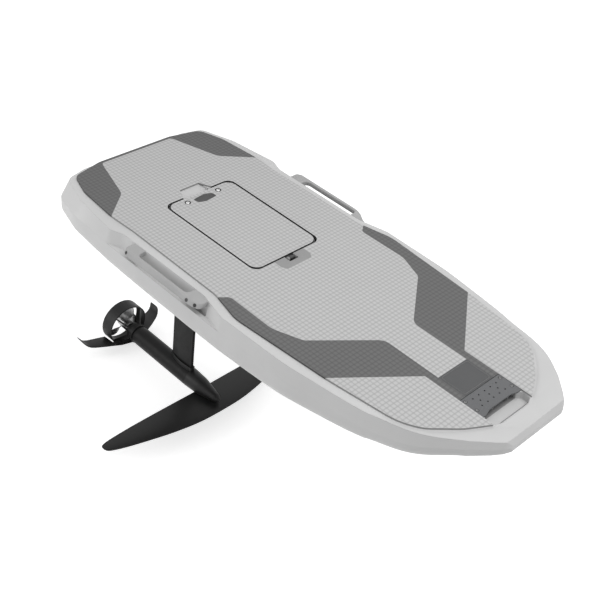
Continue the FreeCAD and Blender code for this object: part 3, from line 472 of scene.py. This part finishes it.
def inside_box(made, low, high):
    """1 inside a box of the board, 0 outside."""
    split = made.node("ShaderNodeSeparateXYZ", {0: made.place})
    result = None
    for axis, start, end in zip("XYZ", low, high):
        value = split.outputs[axis]
        above = made.maths("GREATER_THAN", value, start)
        below = made.maths("LESS_THAN", value, end)
        both = made.maths("MULTIPLY", above, below)
        result = both if result is None else made.maths("MULTIPLY", result, both)
    return result


def shared(name, build):
    """The named material, made once."""
    return bpy.data.materials.get(name) or build()


def dress(material, *nodes):
    for node in nodes:
        piece = frame["nodes"][node]
        piece.data.materials.clear()
        piece.data.materials.append(material)


def steel():
    colours = bpy.context.scene.board_colours
    return shared("polished_steel", lambda: metal("polished_steel", colours.steel, 0.22, (1, 6, 1)).done())


def dark_steel():
    return shared("dark_steel", lambda: metal("dark_steel", grey(70), 0.38, (1, 6, 1)).done())


# Places of the small fittings, in metres

DECK_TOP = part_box("deck_pad_light")[1].z
LID_SCREWS = ((-0.520, -0.0685), (-0.520, 0.0685))
LATCH_MIDDLE = (-0.510, 0.0)
# place of the latch's six corners and their radius, as shares of its half span
LATCH_LEAF = ((-0.33, -1.00, 0.14), (0.24, -0.94, 0.30), (0.47, -0.25, 0.60),
              (0.33, 1.00, 0.14), (-0.24, 0.94, 0.30), (-0.47, 0.25, 0.60))
# distance forward of the plate's rear edge, half spacing of the holes, holes in the row
DRAIN_ROWS = ((0.019, 0.0545, 5), (0.036, 0.041, 3), (0.0525, 0.0545, 5))
PLATE_SCREWS = ((0.0135, 0.082), (0.0560, 0.082))
# station and height of a side handle's screws
HANDLE_SCREWS = ((-0.432, 0.0970), (-0.133, 0.0965), (-0.098, 0.0960))
# painted shade: share of the hull's colour at the floor of the hollow behind a grip, and of the bow pocket
GRIP_HOLLOW_SHADE, POCKET_SHADE = 0.36, 0.45


def latch_outline(sizes):
    """Leaf-shaped outline of the latch in the lid, its tips to port and to starboard."""
    middle_x, middle_y = LATCH_MIDDLE
    half = sizes.latch_half
    return [(middle_x + x * half, middle_y + y * half, radius * half) for x, y, radius in LATCH_LEAF]


class HYDROFOIL_OT_hull(bpy.types.Operator):
    """Finish the moulded hull, with painted shade in the grip hollows and the bow pocket, and the dark lining
    of the hatch opening, partly rubber and partly painted shade
    """
    bl_idname = "hydrofoil.hull"
    bl_label = "Hull"

    def execute(self, context):
        colours = context.scene.board_colours
        made = Finish("moulded_hull", colours.hull, 0.45, coat=0.12)
        made.round_edges(0.0045)
        # the hatch opening's lining, partly dark rubber and partly painted shade: the hull inside the opening
        # and the bay below it are painted dark
        rim, pad = 0.012, 0.0066
        lining = inside_box(made, *hatch_mouth(rim, DECK_TOP - pad))
        drift = made.spread(made.noise(5.0), 0.0, 1.0)
        skin = made.shades(drift, 0.97, 1.03)
        # painted shade: the hull darkens towards the floor of each grip hollow and of the bow pocket
        for low, high, dark in self.painted_shade_boxes():
            height = made.node("ShaderNodeSeparateXYZ", {0: made.place}).outputs["Z"]
            depth = made.spread(height, 1.0, 0.0, low[2] + 0.006, high[2])
            inside = made.maths("MULTIPLY", inside_box(made, low, high), depth)
            skin = made.blend(inside, skin, tuple(dark * c for c in colours.hull))
        made.link(made.blend(lining, skin, tuple(colours.lining)), made.shader.inputs["Base Color"])
        gloss = made.spread(made.noise(30.0), 0.40, 0.50)
        made.link(gloss, made.shader.inputs["Roughness"])
        made.bump(made.noise(420.0, 2.0), 0.00006)
        dress(made.done(), "hull")
        return {"FINISHED"}

    def painted_shade_boxes(self):
        """Boxes of painted shade, whose skin darkens towards their floor: behind each grip and under the bow
        plate.
        """
        boxes = []
        for node, side in (("side_handle_port", 1), ("side_handle_starboard", -1)):
            low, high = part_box(node)
            inner, outer = 0.300, max(abs(low.y), abs(high.y)) - 0.031
            across = sorted((side * inner, side * outer))
            deepest = (low.x - 0.012, across[0], low.z - 0.036)
            boxes.append((deepest, (high.x + 0.006, across[1], high.z), GRIP_HOLLOW_SHADE))
        low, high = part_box("bow_handle_plate")
        deepest = (low.x, low.y, low.z - 0.030)
        boxes.append((deepest, (high.x - 0.004, high.y, low.z), POCKET_SHADE))
        return boxes


class HYDROFOIL_OT_pads(bpy.types.Operator):
    """Finish the light and dark grip pads"""
    bl_idname = "hydrofoil.pads"
    bl_label = "Grip pads"

    def execute(self, context):
        colours = context.scene.board_colours
        sizes = context.scene.fitting_sizes
        # the lining colour paints shade on the light pad's walls round the hatch
        light = foam("grip_foam_light", colours.pad_light, sizes, tuple(colours.lining)).done()
        dark = foam("grip_foam_dark", colours.pad_dark, sizes).done()
        dress(light, "deck_pad_light", "hatch_lid_pad")
        dress(dark, "tail_pad_dark", "side_pad_port", "side_pad_starboard")
        return {"FINISHED"}


class HYDROFOIL_OT_hatch(bpy.types.Operator):
    """Finish the hatch, its hinge and what lies in the battery bay"""
    bl_idname = "hydrofoil.hatch"
    bl_label = "Hatch and bay"

    def execute(self, context):
        colours = context.scene.board_colours
        dress(moulded("hatch_shell", grey(58), 0.5).done(), "hatch_lid")
        dress(moulded("hinge_cover_grey", colours.hinge_cover, 0.6, edge=0.0012).done(), "hinge_cover")
        dress(moulded("battery_shell", grey(38), 0.5, edge=0.003).done(), "battery_pack")
        dress(moulded("seal_rubber", grey(28), 0.75, grain=400.0).done(), "hatch_seal")
        dress(self.bracket_paint(colours), "hinge_bracket")
        dress(steel(), "hinge_pin")
        return {"FINISHED"}

    def bracket_paint(self, colours):
        """Grey cast bracket with a black rubber stop in its middle."""
        made = Finish("bracket_grey", colours.hinge_cover, 0.55)
        low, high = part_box("hinge_bracket")
        reach = 0.0105
        stop = inside_box(made, (low.x - reach, -reach, low.z - reach),
                          (low.x + 2.4 * reach, reach, high.z + reach))
        paint = made.shades(made.spread(made.noise(30.0), 0, 1), 0.82, 0.92)
        made.link(made.blend(stop, paint, tuple(colours.lining)), made.shader.inputs["Base Color"])
        made.bump(made.noise(700.0, 2.0), 0.00005)
        return made.done()


class HYDROFOIL_OT_foils(bpy.types.Operator):
    """Finish the mast, the pod, the wings and the fairing"""
    bl_idname = "hydrofoil.foils"
    bl_label = "Mast and foils"

    def execute(self, context):
        colours = context.scene.board_colours
        mast = metal("anodised_mast", colours.mast, 0.45, (6, 6, 0.15), metallic=0.0, specular=0.14).done()
        pod = metal("anodised_pod", colours.mast, 0.42, (0.15, 6, 6), metallic=0.0, specular=0.14).done()
        dress(mast, "mast", "mast_base_plate")
        dress(pod, "drive_pod")
        foil = Finish("moulded_carbon", colours.foil, 0.4, specular=0.28)
        weave = foil.node("ShaderNodeTexWave", {"Vector": foil.place, "Scale": 160.0, "Distortion": 1.5,
                                                "Detail": 2.0}, bands_direction="DIAGONAL").outputs["Fac"]
        foil.link(foil.shades(weave, 0.85, 1.15), foil.shader.inputs["Base Color"])
        foil.bump(foil.noise(300.0, 2.0), 0.00005)
        dress(foil.done(), "front_wing", "stabiliser")
        fairing = moulded("black_fairing", colours.black, 0.42, specular=0.25).done()
        dress(fairing, "nose_fairing", "mast_collar")
        return {"FINISHED"}


class HYDROFOIL_OT_drive(bpy.types.Operator):
    """Finish the propeller, its guard, the shaft and the motor"""
    bl_idname = "hydrofoil.drive"
    bl_label = "Propeller and guard"

    def execute(self, context):
        colours = context.scene.board_colours
        guard = moulded("black_guard", colours.black, 0.45, edge=0.001, specular=0.25).done()
        dress(guard, "propeller_guard")
        cast = metal("cast_propeller", colours.propeller, 0.33, scale=260.0, depth=0.00008).done()
        dress(cast, "propeller", "propeller_nut")
        dress(steel(), "propeller_shaft")
        dress(metal("motor_can", grey(120), 0.4, (0.2, 6, 6)).done(), "drive_motor")
        return {"FINISHED"}


class HYDROFOIL_OT_propeller(bpy.types.Operator):
    """Build the cast propeller with its broad skewed blades"""
    bl_idname = "hydrofoil.propeller"
    bl_label = "Propeller"

    # share of the blade's reach, chord, thickness, sweep round the shaft in degrees
    STATIONS = ((0.24, 0.032, 0.0062, 0), (0.36, 0.052, 0.0052, -2), (0.50, 0.071, 0.0044, -3),
                (0.64, 0.083, 0.0037, -2), (0.78, 0.084, 0.0030, 1), (0.90, 0.071, 0.0025, 6),
                (0.97, 0.052, 0.0021, 10), (1.00, 0.028, 0.0016, 13))

    def execute(self, context):
        sizes = context.scene.fitting_sizes
        low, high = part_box("propeller")
        axis = Vector((0, 0.5 * (low.y + high.y), propeller_joint()["pos_m"][2]))
        reach = sizes.blade_reach
        middle = Vector(propeller_joint()["pos_m"]).x
        bm = bmesh.new()
        count = 3
        for blade in range(count):
            rings = []
            for share, chord, thickness, sweep in self.STATIONS:
                radius = share * reach
                pitch = math.atan2(sizes.blade_advance, 2 * math.pi * radius)
                ring = []
                for u, v in foil_loop(chord, thickness):
                    along = u * math.sin(pitch) + v * math.cos(pitch)
                    around = (u * math.cos(pitch) - v * math.sin(pitch)) / radius
                    turn = 2 * math.pi * blade / count + math.radians(sweep) + around
                    ring.append(bm.verts.new(axis + Vector((middle + along, radius * math.sin(turn),
                                                            radius * math.cos(turn)))))
                rings.append(ring)
            loft(bm, rings)
        hub = sizes.hub_radius
        length = high.x - low.x
        profile = [(0.30 * hub, length), (0.86 * hub, length), (0.97 * hub, length - 0.0009),
                   (hub, length - 0.003), (0.985 * hub, 0.5 * length), (0.84 * hub, 0.003),
                   (0.80 * hub, 0.0008), (0.70 * hub, 0.0)]
        add_turned(bm, facing((low.x, axis.y, axis.z), (1, 0, 0)), profile, 48)
        cast = bpy.data.materials["cast_propeller"]
        make_piece("propeller_cast", bm, PROPELLER, cast, ("propeller",), sharp=40)
        return {"FINISHED"}


def propeller_joint():
    """The joint that the propeller turns on, as the record gives it."""
    return next(j for j in frame["record"]["behaviour"]["joints"] if j["name"] == "propeller_spin")


def foil_loop(chord, thickness, steps=7):
    """Closed section of a blade: (along the chord, across it), blunt in front and thin behind."""
    upper = []
    for k in range(steps + 1):
        share = 0.5 * (1 - math.cos(math.pi * k / steps))
        half = thickness * 1.5 * (math.sqrt(share) * (1 - share) + 0.12 * share)
        upper.append((chord * (0.5 - share), 0.5 * half))
    lower = [(u, -0.55 * v) for u, v in reversed(upper[1:-1])]
    return upper + lower


# size of a wing's section against its chord, before the section's own shape makes half of it
WING_DEPTH = 0.19


def smooth_stations(stations, steps):
    """Stations of a wing with smooth ones between them, level and square at the root."""
    mirrored = (-stations[1][0], *stations[1][1:])
    line = [Vector(row) for row in (mirrored, *stations, stations[-1])]
    result = []
    for before, start, end, after in zip(line, line[1:], line[2:], line[3:]):
        for k in range(steps):
            t = k / steps
            bend = 2 * before - 5 * start + 4 * end - after
            twist = 3 * start - before - 3 * end + after
            result.append(0.5 * (2 * start + (end - before) * t + bend * t ** 2 + twist * t ** 3))
    return result + [line[-2]]


def make_wing(name, node, stations, height, steps, foot=None):
    """Wing lofted both ways from its root; a station is (span, leading edge, trailing edge, lift) in mm.

    A foot is (outline, low, high) of a block that joins the wing to the pod.
    """
    half = [row * MM for row in smooth_stations(stations, steps)]
    rows = [(side * row[0], *row[1:]) for side, part in ((-1, half[:0:-1]), (1, half)) for row in part]
    rings = []
    bm = bmesh.new()
    for index, (y, lead, trail, lift) in enumerate(rows):
        first, last = rows[max(index - 1, 0)], rows[min(index + 1, len(rows) - 1)]
        run, rise = last[0] - first[0], last[3] - first[3]
        reach = math.hypot(run, rise)
        chord = max(lead - trail, 0.002)
        ring = []
        for u, v in foil_loop(chord, max(chord * WING_DEPTH, 0.002), 10):
            place = (0.5 * (lead + trail) + u, y - v * rise / reach, height + lift + v * run / reach)
            ring.append(bm.verts.new(place))
        rings.append(ring)
    loft(bm, rings)
    if foot:
        add_slab(bm, *foot, 0.0)
    make_piece(name, bm, BOARD, bpy.data.materials["moulded_carbon"], (node,), sharp=50)


class HYDROFOIL_OT_front_wing(bpy.types.Operator):
    """Build the front wing with its smooth leading edge"""
    bl_idname = "hydrofoil.front_wing"
    bl_label = "Front wing"

    STATIONS = ((0, -330, -473, 0), (110, -334, -474, 0), (220, -352, -475, 0), (320, -377, -475, 0),
                (400, -400, -473, 0), (445, -416, -470, 0), (468, -428, -465, 0), (476, -442, -457, 0))

    def execute(self, context):
        low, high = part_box("front_wing")
        make_wing("front_wing_shell", "front_wing", self.STATIONS, 0.5 * (low.z + high.z), 5)
        return {"FINISHED"}


class HYDROFOIL_OT_stabiliser(bpy.types.Operator):
    """Build the stabiliser, cut out round the duct, with its upturned tips"""
    bl_idname = "hydrofoil.stabiliser"
    bl_label = "Stabiliser"

    STATIONS = ((0, -866, -918, 0), (60, -881, -918, 0), (79, -891, -918, 0), (84, -894, -966, 0),
                (120, -912, -978, 0), (155, -932, -990, 0), (168, -940, -996, 1.5), (177, -947, -1001, 5),
                (183, -953, -1005, 10), (187, -958, -1008, 16), (189, -963, -1009, 21),
                (189.7, -968, -1008, 23.3), (190, -976, -1002, 24))
    # rear and front of the foot, its half width, its height above the wing's plane
    FOOT = (-0.894, -0.872, 0.008, 0.0165)

    def execute(self, context):
        half_thickness = 0.0045
        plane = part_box("stabiliser")[0].z + half_thickness
        rear, front, half_width, rise = self.FOOT
        foot = (box_outline(rear, front, -half_width, half_width, 0.003), plane, plane + rise)
        make_wing("stabiliser_shell", "stabiliser", self.STATIONS, plane, 1, foot)
        return {"FINISHED"}


class HYDROFOIL_OT_side_handles(bpy.types.Operator):
    """Build the two rounded side handles in the place of the plain ones"""
    bl_idname = "hydrofoil.side_handles"
    bl_label = "Side handles"

    def execute(self, context):
        colours = context.scene.board_colours
        sizes = context.scene.fitting_sizes
        material = moulded("handle_rubber", colours.side_handle, 0.62, grain=700.0).done()
        for side, node in HANDLES:
            low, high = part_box(node)
            bm = bmesh.new()
            rings = []
            for inset, height in rounded_levels(low.z, high.z, sizes.handle_round, sizes.handle_round):
                corners = moved(handle_corners(side, node, height), inset)
                rings.append(add_ring(bm, arc_outline(corners), height))
            loft(bm, rings, hollow=True)
            name = node.replace("handle", "grip")
            make_piece(name, bm, BOARD, material, (node,), sharp=60)
        return {"FINISHED"}


HANDLES = ((1, "side_handle_port"), (-1, "side_handle_starboard"))
# how far a handle's outer face leans in from its foot to its top
HANDLE_LEAN = 0.010


def handle_corners(side, node, height):
    """Outline of a side handle at a height: a D-shaped loop, its outer face leaning, its ends in the hull."""
    low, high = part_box(node)
    widest = max(abs(low.y), abs(high.y))
    reach = widest - HANDLE_LEAN * (height - low.z) / (high.z - low.z)
    rear, front = low.x, high.x
    span = front - rear
    seat, inside = 0.338, widest - 0.021
    rear_lug, front_lug = rear + 0.15 * span, front - 0.19 * span
    half = [(rear, seat, 0), (rear_lug, seat, 0), (rear_lug, inside, 0.018),
            (front_lug, inside, 0.014), (front_lug, seat, 0), (front, seat, 0)]
    if side > 0:
        half += [(front - 0.004, reach - 0.040, 0.018), (front - 0.19 * span, reach, 0.060)]
    else:
        half += [(front, reach - 0.010, 0.014), (front - 0.08 * span, reach, 0.060)]
    half += [(rear + 0.05 * span, reach, 0.020), (rear, reach - 0.010, 0.012)]
    corners = [(x, side * y, radius) for x, y, radius in half]
    if side < 0:
        corners.reverse()
    return corners


def outer_face(corners, side, x):
    """Place on the outer side of an outline at x, and the direction that it faces there."""
    points = arc_outline(corners)
    best = None
    for first, second in zip(points, points[1:] + points[:1]):
        if (first.x - x) * (second.x - x) > 0 or first.x == second.x:
            continue
        y = first.y + (second.y - first.y) * (x - first.x) / (second.x - first.x)
        if best is None or side * y > side * best[0]:
            run = second - first
            normal = Vector((run.y, -run.x)).normalized()
            best = (y, normal if normal.y * side > 0 else -normal)
    return best


class HYDROFOIL_OT_handle_screws(bpy.types.Operator):
    """Set three screws in the outer face of each side handle"""
    bl_idname = "hydrofoil.handle_screws"
    bl_label = "Side handle screws"

    def execute(self, context):
        sizes = context.scene.fitting_sizes
        bm = bmesh.new()
        for side, node in HANDLES:
            low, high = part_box(node)
            for index, (x, z) in enumerate(HANDLE_SCREWS):
                y, normal = outer_face(handle_corners(side, node, z), side, x)
                outward = (*normal, HANDLE_LEAN / (high.z - low.z))
                add_screw(bm, (x, y, z), outward, sizes.handle_screw, 0.0012, turn=0.4 * index)
        make_piece("side_handle_screws", bm, BOARD, dark_steel())
        return {"FINISHED"}


class HYDROFOIL_OT_bow_plate(bpy.types.Operator):
    """Build the bow handle plate with its rounded edge and drain holes"""
    bl_idname = "hydrofoil.bow_plate"
    bl_label = "Bow handle plate"

    def execute(self, context):
        colours = context.scene.board_colours
        sizes = context.scene.fitting_sizes
        low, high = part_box("bow_handle_plate")
        rear, front, half = low.x, high.x, high.y
        dip = 0.008
        corners = [
            (rear, -half, 0.003), (front, -half, 0.004), (front, -half + 0.016, 0.014),
            (front - dip, -half + 0.042, 0.060), (front - dip, half - 0.042, 0.060),
            (front, half - 0.016, 0.014), (front, half, 0.004), (rear, half, 0.003),
        ]
        wells = []
        for forward, spread, count in DRAIN_ROWS:
            for k in range(count):
                y = spread * (2 * k / (count - 1) - 1)
                wells.append((circle_corners(rear + forward, y, sizes.dimple), 0.004, 0.0006))
        for forward, y in PLATE_SCREWS:
            for side in (1, -1):
                rim = circle_corners(rear + forward, side * y, sizes.plate_screw + 0.0014)
                wells.append((rim, 0.0022, 0.0005))
        bm = bmesh.new()
        add_slab(bm, corners, low.z, high.z, sizes.plate_round + 0.0008, 0.0008, wells)
        material = moulded("bow_plate_plastic", colours.bow_plate, 0.45, grain=600.0).done()
        # two short ribs under the front lip
        for y in (-0.030, 0.043):
            rib = box_outline(front - dip - 0.024, front - dip - 0.002, y - 0.004, y + 0.004, 0.0015)
            add_slab(bm, rib, low.z - 0.012, low.z + 0.001, 0.0, 0.001)
        make_piece("bow_plate", bm, BOARD, material, ("bow_handle_plate",), sharp=40)
        bm = bmesh.new()
        for forward, y in PLATE_SCREWS:
            for side in (1, -1):
                place = (rear + forward, side * y, high.z - 0.0020)
                add_screw(bm, place, UP, sizes.plate_screw, 0.0026, turn=forward * 60)
        dull = shared("dull_steel", lambda: metal("dull_steel", grey(150), 0.35, (1, 6, 1)).done())
        make_piece("bow_plate_screws", bm, BOARD, dull)
        return {"FINISHED"}


class HYDROFOIL_OT_name_plate(bpy.types.Operator):
    """Finish the blank name plate and lay its raised border"""
    bl_idname = "hydrofoil.name_plate"
    bl_label = "Name plate"

    def execute(self, context):
        colours = context.scene.board_colours
        dress(moulded("name_plate_plastic", colours.name_plate, 0.5, grain=500.0, edge=0.001).done(),
              "name_plate_blank")
        low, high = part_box("name_plate_blank")
        border, width, rise = 0.0055, 0.0012, 0.0007
        outer = box_outline(low.x + border, high.x - border, low.y + border, high.y - border, 0.009)
        bm = bmesh.new()
        rings = [add_ring(bm, arc_outline(moved(outer, inset)), height) for inset, height in (
            (0, high.z - 0.001), (0, high.z + 0.5 * rise), (0.25 * width, high.z + rise),
            (0.75 * width, high.z + rise), (width, high.z + 0.5 * rise), (width, high.z - 0.001))]
        for first, second in zip(rings, rings[1:] + rings[:1]):
            join_rings(bm, first, second)
        border_grey = moulded("plate_border", grey(118), 0.4).done()
        make_piece("name_plate_border", bm, BOARD, border_grey)
        return {"FINISHED"}


class HYDROFOIL_OT_lid_pad(bpy.types.Operator):
    """Build the lid's grip pad with two screw wells and the latch opening"""
    bl_idname = "hydrofoil.lid_pad"
    bl_label = "Lid pad"

    def execute(self, context):
        sizes = context.scene.fitting_sizes
        low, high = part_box("hatch_lid_pad")
        inset = sizes.lid_inset
        corners = moved(box_outline(low.x, high.x, low.y, high.y, sizes.lid_corner), inset)
        leaf = latch_outline(sizes)
        wells = [(circle_corners(x, y, sizes.lid_well), 0.0045, 0.0008) for x, y in LID_SCREWS]
        wells.append((leaf, 0.0055, 0.0008))
        bm = bmesh.new()
        add_slab(bm, corners, low.z, high.z, 0.0018, 0.0, wells)
        light = bpy.data.materials["grip_foam_light"]
        make_piece("hatch_grip_pad", bm, HATCH, light, ("hatch_lid_pad",), sharp=40)
        rubber = moulded("well_rubber", grey(48), 0.7).done()
        bm = bmesh.new()
        for x, y in LID_SCREWS:
            wall = sizes.lid_well - 0.0002
            profile = [(wall, high.z - 0.0046), (wall, high.z - 0.0012),
                       (wall - 0.0010, high.z - 0.0010), (sizes.lid_screw + 0.0012, high.z - 0.0034)]
            add_turned(bm, Matrix.Translation((x, y, 0)), profile, 32)
        make_piece("lid_screw_cups", bm, HATCH, rubber)
        return {"FINISHED"}


class HYDROFOIL_OT_lid_screws(bpy.types.Operator):
    """Set the two bright screws at the rear of the lid"""
    bl_idname = "hydrofoil.lid_screws"
    bl_label = "Lid screws"

    def execute(self, context):
        sizes = context.scene.fitting_sizes
        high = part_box("hatch_lid_pad")[1]
        bm = bmesh.new()
        for x, y in LID_SCREWS:
            r = sizes.lid_screw
            profile = [(r, high.z - 0.0036), (r, high.z - 0.0014), (0.94 * r, high.z - 0.0008),
                       (0.80 * r, high.z - 0.0004)]
            socket = [(0.34 * r, high.z - 0.0003), (0.32 * r, high.z - 0.0020)]
            add_turned(bm, Matrix.Translation((x, y, 0)), profile, 36, socket)
        make_piece("lid_screws", bm, HATCH, steel())
        return {"FINISHED"}


class HYDROFOIL_OT_latch(bpy.types.Operator):
    """Build the dished latch grip in the place of the plain one"""
    bl_idname = "hydrofoil.latch"
    bl_label = "Latch"

    def execute(self, context):
        colours = context.scene.board_colours
        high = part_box("hatch_latch")[1]
        leaf = latch_outline(context.scene.fitting_sizes)
        bm = bmesh.new()
        # inset from the edge of the opening and depth below the pad
        levels = ((0.0002, 0.0054), (0.0002, 0.0016), (0.0008, 0.0009), (0.0018, 0.0008), (0.0030, 0.0018),
                  (0.0050, 0.0030), (0.0080, 0.0036))
        rings = [add_ring(bm, arc_outline(moved(leaf, inset)), high.z - depth) for inset, depth in levels]
        loft(bm, rings, hollow=True)
        material = moulded("latch_plastic", colours.latch, 0.5, grain=600.0).done()
        make_piece("latch_grip", bm, HATCH, material, ("hatch_latch",), sharp=60)
        return {"FINISHED"}


class HYDROFOIL_OT_foil_bolts(bpy.types.Operator):
    """Set the bolts of the mast plate and the front wing"""
    bl_idname = "hydrofoil.foil_bolts"
    bl_label = "Foil bolts"

    def execute(self, context):
        sizes = context.scene.fitting_sizes
        low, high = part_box("mast_base_plate")
        bm = bmesh.new()
        inset_x, inset_y = 0.020, 0.016
        for x in (low.x + inset_x, high.x - inset_x):
            for y in (low.y + inset_y, high.y - inset_y):
                add_screw(bm, (x, y, low.z), -UP, sizes.mast_screw, 0.004, turn=0.3)
        low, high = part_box("front_wing")
        behind_edge, half_pitch, below_middle = 0.075, 0.022, 0.0042
        for step in (-half_pitch, half_pitch):
            place = (high.x - behind_edge + step, 0, 0.5 * (low.z + high.z) - below_middle)
            add_screw(bm, place, -UP, sizes.foil_screw, 0.0028)
        make_piece("foil_bolts", bm, BOARD, dark_steel())
        return {"FINISHED"}


class HYDROFOIL_OT_studio(bpy.types.Operator):
    """Set the floor, the even sky and the two soft lamps"""
    bl_idname = "hydrofoil.studio"
    bl_label = "Studio"

    # the floor's paint, and the glow that makes it white where it is looked at
    PAINT = (0.86, 0.86, 0.86, 1)
    GLOW = 0.62

    def execute(self, context):
        scene = context.scene
        studio = scene.studio_settings
        scene.view_settings.view_transform = "Standard"
        floor_z = cad_box[0].z - studio.floor_gap
        bm = bmesh.new()
        reach = 14.0
        bm.faces.new([bm.verts.new((x, y, floor_z))
                      for x, y in ((-reach, -reach), (reach, -reach), (reach, reach), (-reach, reach))])
        mesh = bpy.data.meshes.new("studio_floor")
        bm.to_mesh(mesh)
        bm.free()
        floor = bpy.data.objects.new("studio_floor", mesh)
        scene.collection.objects.link(floor)
        mesh.materials.append(self.floor_material())
        self.sky(scene, studio.sky)
        for name, power, place, aim, size in (
                ("key_lamp", studio.key, (1.2, 0.2, 3.5), (0.2, 0, 0), 3.2),
                ("side_lamp", studio.fill, (-2.6, -2.9, 0.9), (-0.4, 0, 0), 2.4)):
            self.lamp(name, place, aim, size, power)
        return {"FINISHED"}

    def seen_directly(self, tree):
        """1 where the camera, a reflection or a clear material looks straight at a surface."""
        path = tree.nodes.new("ShaderNodeLightPath")
        most = None
        for ray in ("Is Camera Ray", "Is Glossy Ray", "Is Transmission Ray"):
            if most is None:
                most = path.outputs[ray]
                continue
            larger = tree.nodes.new("ShaderNodeMath")
            larger.operation = "MAXIMUM"
            tree.links.new(most, larger.inputs[0])
            tree.links.new(path.outputs[ray], larger.inputs[1])
            most = larger.outputs[0]
        return most

    def floor_material(self):
        material = bpy.data.materials.new("white_floor")
        material.use_nodes = True
        tree = material.node_tree
        new, link = tree.nodes.new, tree.links.new
        tree.nodes.remove(tree.nodes["Principled BSDF"])
        paint = new("ShaderNodeBsdfDiffuse")
        paint.inputs["Color"].default_value = self.PAINT
        glow = new("ShaderNodeEmission")
        glow.inputs["Color"].default_value = (1, 1, 1, 1)
        weight = new("ShaderNodeMath")
        weight.operation = "MULTIPLY"
        link(self.seen_directly(tree), weight.inputs[0])
        weight.inputs[1].default_value = self.GLOW
        link(weight.outputs[0], glow.inputs["Strength"])
        both = new("ShaderNodeAddShader")
        link(paint.outputs[0], both.inputs[0])
        link(glow.outputs[0], both.inputs[1])
        # from below the floor is clear, so that the underside of the board can be looked at
        chosen = new("ShaderNodeMixShader")
        link(new("ShaderNodeNewGeometry").outputs["Backfacing"], chosen.inputs["Fac"])
        link(both.outputs[0], chosen.inputs[1])
        link(new("ShaderNodeBsdfTransparent").outputs[0], chosen.inputs[2])
        link(chosen.outputs[0], tree.nodes["Material Output"].inputs["Surface"])
        return material

    def sky(self, scene, strength):
        world = bpy.data.worlds.new("even_sky")
        scene.world = world
        world.use_nodes = True
        tree = world.node_tree
        background = tree.nodes["Background"]
        background.inputs["Color"].default_value = (1, 1, 1, 1)
        level = tree.nodes.new("ShaderNodeMapRange")
        level.inputs["To Min"].default_value = strength
        level.inputs["To Max"].default_value = 1.0
        tree.links.new(self.seen_directly(tree), level.inputs["Value"])
        tree.links.new(level.outputs["Result"], background.inputs["Strength"])

    def lamp(self, name, place, aim, size, power):
        data = bpy.data.lights.new(name, "AREA")
        data.energy = power
        data.shape = "DISK"
        data.size = size
        lamp = bpy.data.objects.new(name, data)
        bpy.context.scene.collection.objects.link(lamp)
        lamp.location = place
        lamp.rotation_mode = "QUATERNION"
        lamp.rotation_quaternion = (Vector(aim) - Vector(place)).to_track_quat("-Z", "Y")


class HYDROFOIL_OT_camera(bpy.types.Operator):
    """Set the camera at the photograph's viewing angle"""
    bl_idname = "hydrofoil.camera"
    bl_label = "Camera"

    PLACE = (1.8058, -2.1459, 2.1733)
    RIGHT = (0.69884, 0.70692, 0.10898)
    UP = (-0.50000, 0.37386, 0.78117)
    # both in pixels of the photograph
    FOCAL_LENGTH = 1089.52
    FRAME_WIDTH = 600

    def execute(self, context):
        right, up = Vector(self.RIGHT), Vector(self.UP)
        back = right.cross(up).normalized()
        right.normalize()
        up = back.cross(right)
        data = bpy.data.cameras.new("photo_camera")
        data.sensor_width = 36.0
        data.lens = self.FOCAL_LENGTH / self.FRAME_WIDTH * data.sensor_width
        data.clip_end = 60.0
        camera = bpy.data.objects.new("photo_camera", data)
        context.scene.collection.objects.link(camera)
        turn = Matrix((right, up, back)).transposed().to_4x4()
        camera.matrix_world = Matrix.Translation(self.PLACE) @ turn
        context.scene.camera = camera
        return {"FINISHED"}


PIECES = (
    HYDROFOIL_OT_hull, HYDROFOIL_OT_pads, HYDROFOIL_OT_hatch, HYDROFOIL_OT_foils, HYDROFOIL_OT_drive,
    HYDROFOIL_OT_propeller, HYDROFOIL_OT_front_wing, HYDROFOIL_OT_stabiliser,
    HYDROFOIL_OT_side_handles, HYDROFOIL_OT_handle_screws, HYDROFOIL_OT_bow_plate, HYDROFOIL_OT_name_plate,
    HYDROFOIL_OT_lid_pad, HYDROFOIL_OT_lid_screws, HYDROFOIL_OT_latch, HYDROFOIL_OT_foil_bolts,
    HYDROFOIL_OT_studio, HYDROFOIL_OT_camera,
)


class HYDROFOIL_PT_pieces(bpy.types.Panel):
    """Pieces, colours and sizes of the hydrofoil surfboard"""
    bl_label = "Hydrofoil surfboard"
    bl_idname = "HYDROFOIL_PT_pieces"
    bl_space_type = "VIEW_3D"
    bl_region_type = "UI"
    bl_category = "Hydrofoil"

    def draw(self, context):
        layout = self.layout
        for piece in PIECES:
            layout.operator(piece.bl_idname)
        for holder, _ in GROUPS:
            group = getattr(context.scene, holder)
            box = layout.box()
            for name in group.__annotations__:
                box.prop(group, name)


GROUPS = (
    ("board_colours", BoardColours),
    ("fitting_sizes", FittingSizes),
    ("studio_settings", StudioSettings),
)


def register():
    for name, group in GROUPS:
        bpy.utils.register_class(group)
        setattr(bpy.types.Scene, name, PointerProperty(type=group))
    for piece in PIECES:
        bpy.utils.register_class(piece)
    bpy.utils.register_class(HYDROFOIL_PT_pieces)


def unregister():
    bpy.utils.unregister_class(HYDROFOIL_PT_pieces)
    for piece in reversed(PIECES):
        bpy.utils.unregister_class(piece)
    for name, group in reversed(GROUPS):
        delattr(bpy.types.Scene, name)
        bpy.utils.unregister_class(group)


def main():
    register()
    for piece in PIECES:
        family, name = piece.bl_idname.split(".")
        getattr(getattr(bpy.ops, family), name)()


if __name__ == "__main__":
    main()
